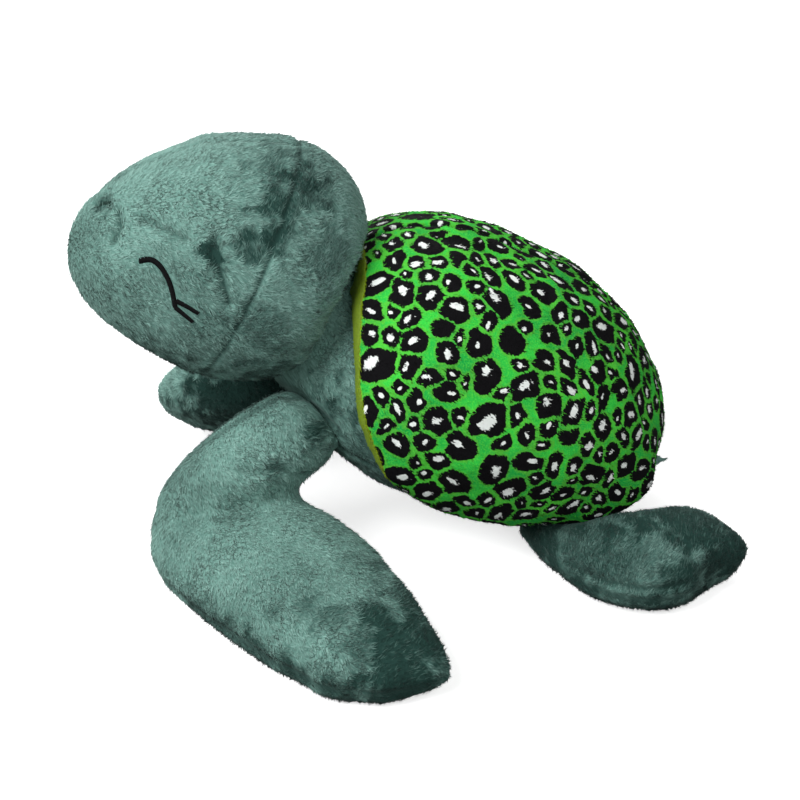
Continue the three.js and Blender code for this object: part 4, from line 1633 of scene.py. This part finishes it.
@dataclass
class Head:
    """The head: two face panels, the back panel, and the stitched eyes and nostrils."""

    seam_point: Point = (0.0, -180.3 * MM, 182.0 * MM)
    seam_tilt: float = math.radians(27.7)
    crown: Tug = ((0.0, -132.0, 236.0), (0.0, 5.5, 2.5), 34.0)
    dimple: Tug = ((13.0, -259.0, 227.8), (-1.0, 2.4, -4.2), 6.0)
    # The dart, pinch and creases are drawn in and painted darker: painted shade in them.
    dart: Line = ((60.0, -195.4, 217.0), (65.5, -191.9, 204.3), (68.4, -189.0, 188.3))
    pinch: Line = (
        (5.3, -264.1, 224.8), (13.4, -258.7, 227.4), (16.1, -254.3, 229.6), (20.1, -254.2, 227.6),
        (22.8, -257.9, 222.8),
    )
    cheek_crease: Line = ((24.8, -249.4, 228.1), (32.4, -247.9, 221.6), (35.6, -251.2, 214.0))
    brow_crease: Line = ((36.6, -233.8, 227.1), (52.4, -211.2, 220.9))
    eye: Line = (
        (49.2, -237.2, 207.3), (51.6, -231.9, 209.4), (53.3, -227.1, 207.5),
        (54.4, -223.0, 203.0), (56.6, -220.6, 197.7), (58.3, -219.4, 192.3),
        (59.4, -218.7, 185.9), (60.3, -219.0, 182.6),
    )
    lashes: tuple[Line, ...] = (
        ((60.1, -217.5, 186.9), (63.1, -211.5, 184.9), (65.7, -205.9, 181.5)),
        ((60.1, -218.4, 182.5), (62.5, -213.6, 179.1), (63.4, -209.2, 175.5)),
    )
    nostril: Line = ((8.0, -262.4, 225.6), (16.1, -254.8, 229.4))
    nod_seat: Point = (0.0, -115.97 * MM, 119.46 * MM)
    nod_back: float = math.radians(-8)
    turned: float = math.radians(14)
    rear: float = -170 * MM
    room: float = 3.4 * MM
    room_reach: float = 14 * MM
    bare_width: float = 3.1 * MM
    pile_gap: float = 8 * MM
    tufts: int = 50000
    # Patches on the crown and by the seam are brushed pile; those at the nose dimple, the top of
    # the dart and under the chin are painted shade.
    dark_patches: Patches = (
        (31.8, -142.2, 238.5, 20, 0.8), (44.2, -157.3, 237.1, 18, 0.7),
        (59.8, -170.7, 218.7, 16, 0.85), (50.8, -131.9, 206.0, 20, 0.5),
        (60.9, -195.8, 214.5, 9, 1.1), (13.0, -259.0, 227.5, 6, 0.8),
        (68.5, -173.1, 174.9, 20, 0.45), (25.0, -160.0, 250.0, 20, 0.5),
        (30.0, -225.0, 128.0, 36, 0.6), (40.0, -170.0, 125.0, 34, 0.6),
    )

    def piece(self, finish: bpy.types.Material) -> StuffedPiece:
        """Describe the skin.

        Args:
            finish: the material of the plush.

        Returns:
            The skin, which is not made yet.
        """
        forward = (0.0, -math.cos(self.seam_tilt), math.sin(self.seam_tilt))
        point, along = np.array(self.seam_point), np.array(forward)

        def on_face(places: np.ndarray) -> np.ndarray:
            """1 in front of the seam behind the face, and 0 behind it."""
            return ((places - point) @ along > 0).astype(float)

        seams: list[Seam] = [
            PlaneSeam(self.seam_point, forward, 2.2 * MM, 1.3 * MM, 1.0),
            PlaneSeam((0.0, 0.0, 0.0), (1.0, 0.0, 0.0), 2.2 * MM, 1.4 * MM, 0.7, on_face),
        ]
        pulls = [*pulls_at([self.crown])]
        brush_and_shade_patches, bare = [], []
        for side in Side:
            sign = side.value
            seams += [
                LineSeam(in_metres(self.dart, sign), 3.0 * MM, 2.4 * MM, 1.0),
                LineSeam(in_metres(self.pinch, sign), 2.4 * MM, 3.4 * MM, 0.9),
                LineSeam(in_metres(self.cheek_crease, sign), 3.0 * MM, 3.4 * MM, 0.9),
                LineSeam(in_metres(self.brow_crease, sign), 3.6 * MM, 2.6 * MM, 0.6),
            ]
            pulls += pulls_at([self.dimple], sign)
            brush_and_shade_patches += brushed_at(self.dark_patches, sign)
            for line in (self.eye, self.nostril, *self.lashes):
                bare.append(LineSeam(in_metres(line, sign), self.bare_width))
        return StuffedPiece(
            "head_cover",
            ("face_left_panel", "face_right_panel", "head_back_panel", "head_stuffing"),
            finish,
            seed=5.2,
            facets_eased=8,
            plump=0.6 * MM,
            seams=tuple(seams),
            pulls=tuple(pulls),
            brush_and_shade_patches=tuple(brush_and_shade_patches),
            pile=Pile(self.tufts, (0.0, 1.0, -0.25), seed=61),
            bare_lines=tuple(bare),
        )

    def make_room(self, obj: bpy.types.Object, shell: BVHTree) -> None:
        """Press in the back of the head where the shell would cut it when it is tipped back.

        Args:
            obj: the skin of the head.
            shell: the surface of the shell.
        """
        places = mesh_points(obj)
        nod = hinged(self.nod_seat, (1.0, 0.0, 0.0), self.nod_back)
        for turn in (-self.turned, 0.0, self.turned):
            move = hinged(Torso.neck_seat, Torso.neck_up, turn) @ nod
            back = move.inverted()
            for i in np.nonzero(places[:, 1] > self.rear)[0]:
                there = move @ Vector(places[i])
                nearest, normal, _, _ = shell.find_nearest(there, self.room_reach)
                if nearest is None:
                    continue
                short = self.room - (there - nearest).dot(normal)
                if short > 0:
                    places[i] = back @ (there + normal * short)
        move_points(obj, places)

    def stitch(self, surface: BVHTree) -> list[bpy.types.Object]:
        """Stitch the eyes and the nostrils.

        Args:
            surface: the finished skin of the head.

        Returns:
            The pieces of stitching.
        """
        black = ThreadFinish("eye_thread", (4, 4, 5), (13, 12, 15)).make()
        green = ThreadFinish("nose_thread", (30, 50, 44), (58, 88, 78)).make()
        lid, lash = SatinStitch(), SatinStitch(width=2.9 * MM, end_share=0.8)
        tack = SatinStitch(width=1.8 * MM, rise=0.6 * MM)
        made = []
        for side in Side:
            laid = [lid.lay(in_metres(self.eye, side.value), surface)]
            laid += [lash.lay(in_metres(path, side.value), surface) for path in self.lashes]
            node = f"eye_stitching_{side.word}"
            made.append(stitch_piece(f"{node}_satin", node, black, laid))
            nose = [tack.lay(in_metres(self.nostril, side.value), surface)]
            node = f"nostril_stitch_{side.word}"
            made.append(stitch_piece(f"{node}_satin", node, green, nose))
        return made


@dataclass(frozen=True)
class FlipperCut:
    """What the left and the right flipper of a pair share, in metres and for the left."""

    name: str
    root: Point
    root_bend: Point
    nap: Point
    tufts: int
    plump: float = 2.4 * MM


@dataclass
class Flipper:
    """One flipper, sewn to the body at its root."""

    cut: FlipperCut
    side: Side
    creases: tuple[Line, ...] = ()
    # Painted shade in creases, along lower edges and on parts turned from the light, with some
    # brushed pile.
    dark_patches: Patches = ()
    pulls: tuple[Tug, ...] = ()
    ragged: float = 0.6
    pile_gap: float = 6 * MM
    root_reach: float = 14 * MM

    @property
    def body(self) -> str:
        """The CAD body that the flipper moves with."""
        return f"{self.cut.name}_{self.side.word}_flipper"

    def on_side(self, point: Point) -> Point:
        """A point or a direction of the left flipper, taken to this side."""
        return (self.side.value * point[0], point[1], point[2])

    def piece(self, finish: bpy.types.Material, seed: float) -> StuffedPiece:
        """Describe the skin.

        Args:
            finish: the material of the plush.
            seed: sets its lumps and its pile apart.

        Returns:
            The skin, which is not made yet.
        """
        panels = (f"{self.body}_top_panel", f"{self.body}_bottom_panel")
        # Creases are drawn in and painted darker: painted shade in them.
        creases = [LineSeam(in_metres(line), 3.2 * MM, 2.2 * MM, 0.8) for line in self.creases]
        return StuffedPiece(
            f"{self.body}_cover",
            (*panels, f"{self.body}_stuffing"),
            finish,
            seed=seed,
            plump=self.cut.plump,
            pulls=pulls_at(self.pulls),
            seams=(SewnEdge(edge_between(*panels)), *creases),
            brush_and_shade_patches=brushed_at(self.dark_patches, ragged=self.ragged),
            pile=Pile(self.cut.tufts, self.on_side(self.cut.nap), seed=int(seed)),
        )

    def fasten(self, obj: bpy.types.Object) -> None:
        """Write the skin's placement into its points."""
        start, end = self.on_side(self.cut.root), self.on_side(self.cut.root_bend)
        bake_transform(obj)


FRONT = FlipperCut("front", (0.05, -0.14, 0.1), (0.075, -0.165, 0.085), (0.7, 0.35, -0.6), 34000)
HIND = FlipperCut(
    "hind", (0.048, -0.01, 0.02), (0.07, 0.01, 0.018), (0.5, 0.8, -0.1), 19000, 1.4 * MM
)
FLIPPERS = (
    Flipper(
        FRONT,
        Side.LEFT,
        creases=(((61.9, -149.6, 68.0), (69.8, -169.3, 78.3), (70.4, -187.8, 76.4)),),
        # Painted shade at the shoulder crease, over the tip and along the lower edge.
        dark_patches=(
            (64.0, -143.4, 93.4, 12, 0.75), (69.8, -169.3, 78.3, 9, 0.6),
            (76.9, -192.4, 49.2, 16, 0.35), (151.9, -172.4, 35.0, 9, 0.5),
            (154.8, -153.8, 38.7, 12, 0.5), (166.3, -139.5, 37.7, 14, 0.6),
            (185.4, -125.0, 31.9, 18, 0.7), (180.2, -89.6, 24.2, 30, 0.85),
            (150.0, -100.0, 30.0, 20, 0.8), (128.0, -122.0, 33.0, 16, 0.7),
            (196.0, -106.0, 18.0, 34, 1.0), (182.0, -100.0, 30.0, 26, 1.0),
            (166.0, -118.0, 38.0, 14, 0.9), (120.0, -216.0, 13.0, 17, 0.65),
            (140.0, -200.0, 13.0, 18, 0.7), (158.0, -184.0, 12.0, 18, 0.75),
            (178.0, -165.0, 10.0, 18, 0.8), (196.0, -142.0, 10.0, 18, 0.85),
        ),
        pulls=tuple(
            (place, (-2.6, 5.2, 0.0), 26.0)
            for place in ((84, -144, 45), (118, -120, 41), (150, -107, 36), (182, -90, 22))
        ),
    ),
    Flipper(
        FRONT,
        Side.RIGHT,
        # Painted shade: this flipper lies in the shade of the head.
        dark_patches=((-42.0, -180.0, 60.0, 58, 1.5), (-40.0, -150.0, 40.0, 40, 0.9)),
        pulls=(((-72.0, -232.0, 45.0), (0.0, -8.0, 3.0), 34.0),),
    ),
    Flipper(
        HIND,
        Side.LEFT,
        creases=(
            (
                (104.9, 1.0, 21.9), (131.0, 22.0, 23.5), (142.1, 49.3, 23.6), (139.0, 78.0, 25.0),
                (127.3, 100.8, 25.7),
            ),
        ),
        # Painted shade: this flipper faces away from the light, and its lower edge is in shadow.
        dark_patches=(
            (100.0, 50.0, 30.0, 100, 0.6), (82.0, 44.0, 44.0, 42, 1.15),
            (104.0, 78.0, 44.0, 42, 1.15), (118.0, 104.0, 34.0, 38, 1.15),
            (140.0, 66.0, 30.0, 22, 0.9), (86.0, -4.0, 22.0, 24, 0.9),
            (142.1, 49.3, 8.0, 20, 1.0), (136.0, 88.0, 8.0, 22, 1.0), (124.0, 8.0, 6.0, 22, 1.0),
        ),
        pulls=(
            ((92.0, 34.0, 30.0), (-8.0, 0.0, 4.0), 22.0),
            ((98.0, 108.0, 30.0), (4.0, -5.0, -2.0), 20.0),
            ((115.0, 112.0, 32.0), (0.0, 5.0, 0.0), 15.0),
            ((138.0, 98.0, 18.0), (-9.0, -6.0, 1.0), 24.0),
        ),
    ),
    # Painted shade over the far hind flipper.
    Flipper(HIND, Side.RIGHT, dark_patches=((-100.0, 50.0, 30.0, 100, 0.75),)),
)


@dataclass
class Tail:
    """The short tail, sewn to a point under the rim of the shell."""

    plump: float = 0.3 * MM
    pile_gap: float = 3 * MM
    tufts: int = 1100
    tuft_length: float = 2.6 * MM

    def piece(self, finish: bpy.types.Material) -> StuffedPiece:
        """Describe the skin.

        Args:
            finish: the material of the plush.

        Returns:
            The skin, which is not made yet.
        """
        return StuffedPiece(
            "tail_cover",
            ("tail_top_panel", "tail_bottom_panel"),
            finish,
            voxel=2 * MM,
            swell=0.5 * MM,
            facets_eased=2,
            finer=1,
            plump=self.plump,
            lump_depth=0.2 * MM,
            pile=Pile(self.tufts, (0.0, 1.0, -0.1), self.tuft_length, seed=71),
        )


@dataclass
class Studio:
    """The pale floor, the soft lamps and the camera. A lamp has a place, a side and watts."""

    target: Point = (0.0, -85.7 * MM, 78 * MM)
    azimuth: float = math.radians(84)
    elevation: float = math.radians(31)
    distance: float = 0.9
    lens: float = 62.8
    sensor: float = 36.0
    floor_size: float = 8.0
    floor_sides: int = 96
    room_light: float = 0.22
    lamps: tuple[tuple[str, Point, float, float], ...] = (
        ("key_lamp", (0.62, -1.15, 1.3), 1.0, 30.0),
        ("fill_lamp", (1.2, 0.5, 1.1), 1.4, 10.0),
        ("rim_lamp", (-1.25, -0.3, 1.0), 1.2, 15.0),
    )

    def place_camera(self) -> None:
        """Put the camera where the photograph was taken from."""
        level = math.cos(self.elevation)
        across, back = math.sin(self.azimuth) * level, -math.cos(self.azimuth) * level
        away = Vector((across, back, math.sin(self.elevation)))
        data = bpy.data.cameras.new("camera")
        data.lens = self.lens
        data.sensor_width = self.sensor
        camera = new_object("camera", data)
        camera.location = Vector(self.target) + away * self.distance
        camera.rotation_euler = away.to_track_quat("Z", "Y").to_euler()
        bpy.context.scene.camera = camera

    def lay_floor(self) -> None:
        """Lay the floor as a flat disc of many sides."""
        steps, radius = self.floor_sides, self.floor_size / 2
        turns = [2 * math.pi * i / steps for i in range(steps)]
        ring = [(radius * math.cos(turn), radius * math.sin(turn), 0.0) for turn in turns]
        mesh = bpy.data.meshes.new("floor")
        mesh.from_pydata(ring, [], [list(range(steps))])
        mesh.materials.append(FloorFinish("floor_paint").make())
        new_object("floor", mesh)

    def hang_lamps(self) -> None:
        """Hang the soft square lamps, each looking at the turtle."""
        for name, place, size, power in self.lamps:
            data = bpy.data.lights.new(name, "AREA")
            data.shape = "SQUARE"
            data.size = size
            data.energy = power
            lamp = new_object(name, data)
            lamp.location = place
            aim = Vector(place) - Vector(self.target)
            lamp.rotation_euler = aim.to_track_quat("Z", "Y").to_euler()

    def light_room(self) -> None:
        """Fill the room with an even white light."""
        world = bpy.data.worlds.new("room")
        world.use_nodes = True
        background = world.node_tree.nodes["Background"]
        background.inputs["Color"].default_value = (1.0, 1.0, 1.0, 1.0)
        background.inputs["Strength"].default_value = self.room_light
        bpy.context.scene.world = world

    def build(self) -> None:
        """Set up the whole studio."""
        bpy.context.scene.view_settings.view_transform = "Standard"
        self.lay_floor()
        self.hang_lamps()
        self.light_room()
        self.place_camera()


def main() -> None:
    """Build the turtle's looks in order, and report each piece."""
    logging.basicConfig(level=logging.INFO, format="%(name)s: %(message)s")
    plush = PlushFinish("plush").make()
    cloth = Cloth()
    torso, shell, head, tail = Torso(), Shell(), Head(), Tail()
    body_piece = torso.piece(plush)
    shell_piece = shell.cover(PrintFinish("leopard_print").make())
    head_piece = head.piece(plush)
    flipper_pieces = [flipper.piece(plush, 11.0 + 3 * i) for i, flipper in enumerate(FLIPPERS)]
    tail_piece = tail.piece(plush)
    for piece in (body_piece, shell_piece, head_piece, *flipper_pieces, tail_piece):
        piece.cut_out(cloth)
    cloth.run()
    torso.fasten(body_piece.dress())
    shell.print_on(shell_piece.dress())
    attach(shell_piece.obj, "body")
    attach(shell.lining(shell_piece.obj, LiningFinish("lining").make()), "body")
    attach(head_piece.dress(), "head")
    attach(tail_piece.dress(), "tail")
    body_surface = surface_of(body_piece.obj)
    shell_surface = surface_of(shell_piece.obj)
    head.make_room(head_piece.obj, shell_surface)
    head_surface = surface_of(head_piece.obj)
    for stitching in head.stitch(head_surface):
        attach(stitching, "head")
    fixed = (body_surface, shell_surface)
    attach(head_piece.grow_pile([(surface, head.pile_gap) for surface in fixed]), "head")
    flipper_surfaces = []
    for flipper, piece in zip(FLIPPERS, flipper_pieces):
        piece.dress()
        piece.reach_to(body_surface, flipper.root_reach)
        flipper.fasten(piece.obj)
        flipper.fasten(piece.grow_pile([(surface, flipper.pile_gap) for surface in fixed]))
        flipper_surfaces.append(surface_of(piece.obj))
    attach(tail_piece.grow_pile([(surface, tail.pile_gap) for surface in fixed]), "tail")
    movers = (head_surface, *flipper_surfaces)
    near_body = [(surface, torso.pile_gap) for surface in (shell_surface, *movers)]
    torso.fasten(body_piece.grow_pile(near_body))
    near_shell = [(surface, shell.pile_gap) for surface in (body_surface, *movers)]
    near_shell.append((surface_of(tail_piece.obj), shell.tail_gap))
    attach(shell_piece.grow_pile(near_shell), "body")
    Studio().build()


if __name__ == "__main__":
    main()
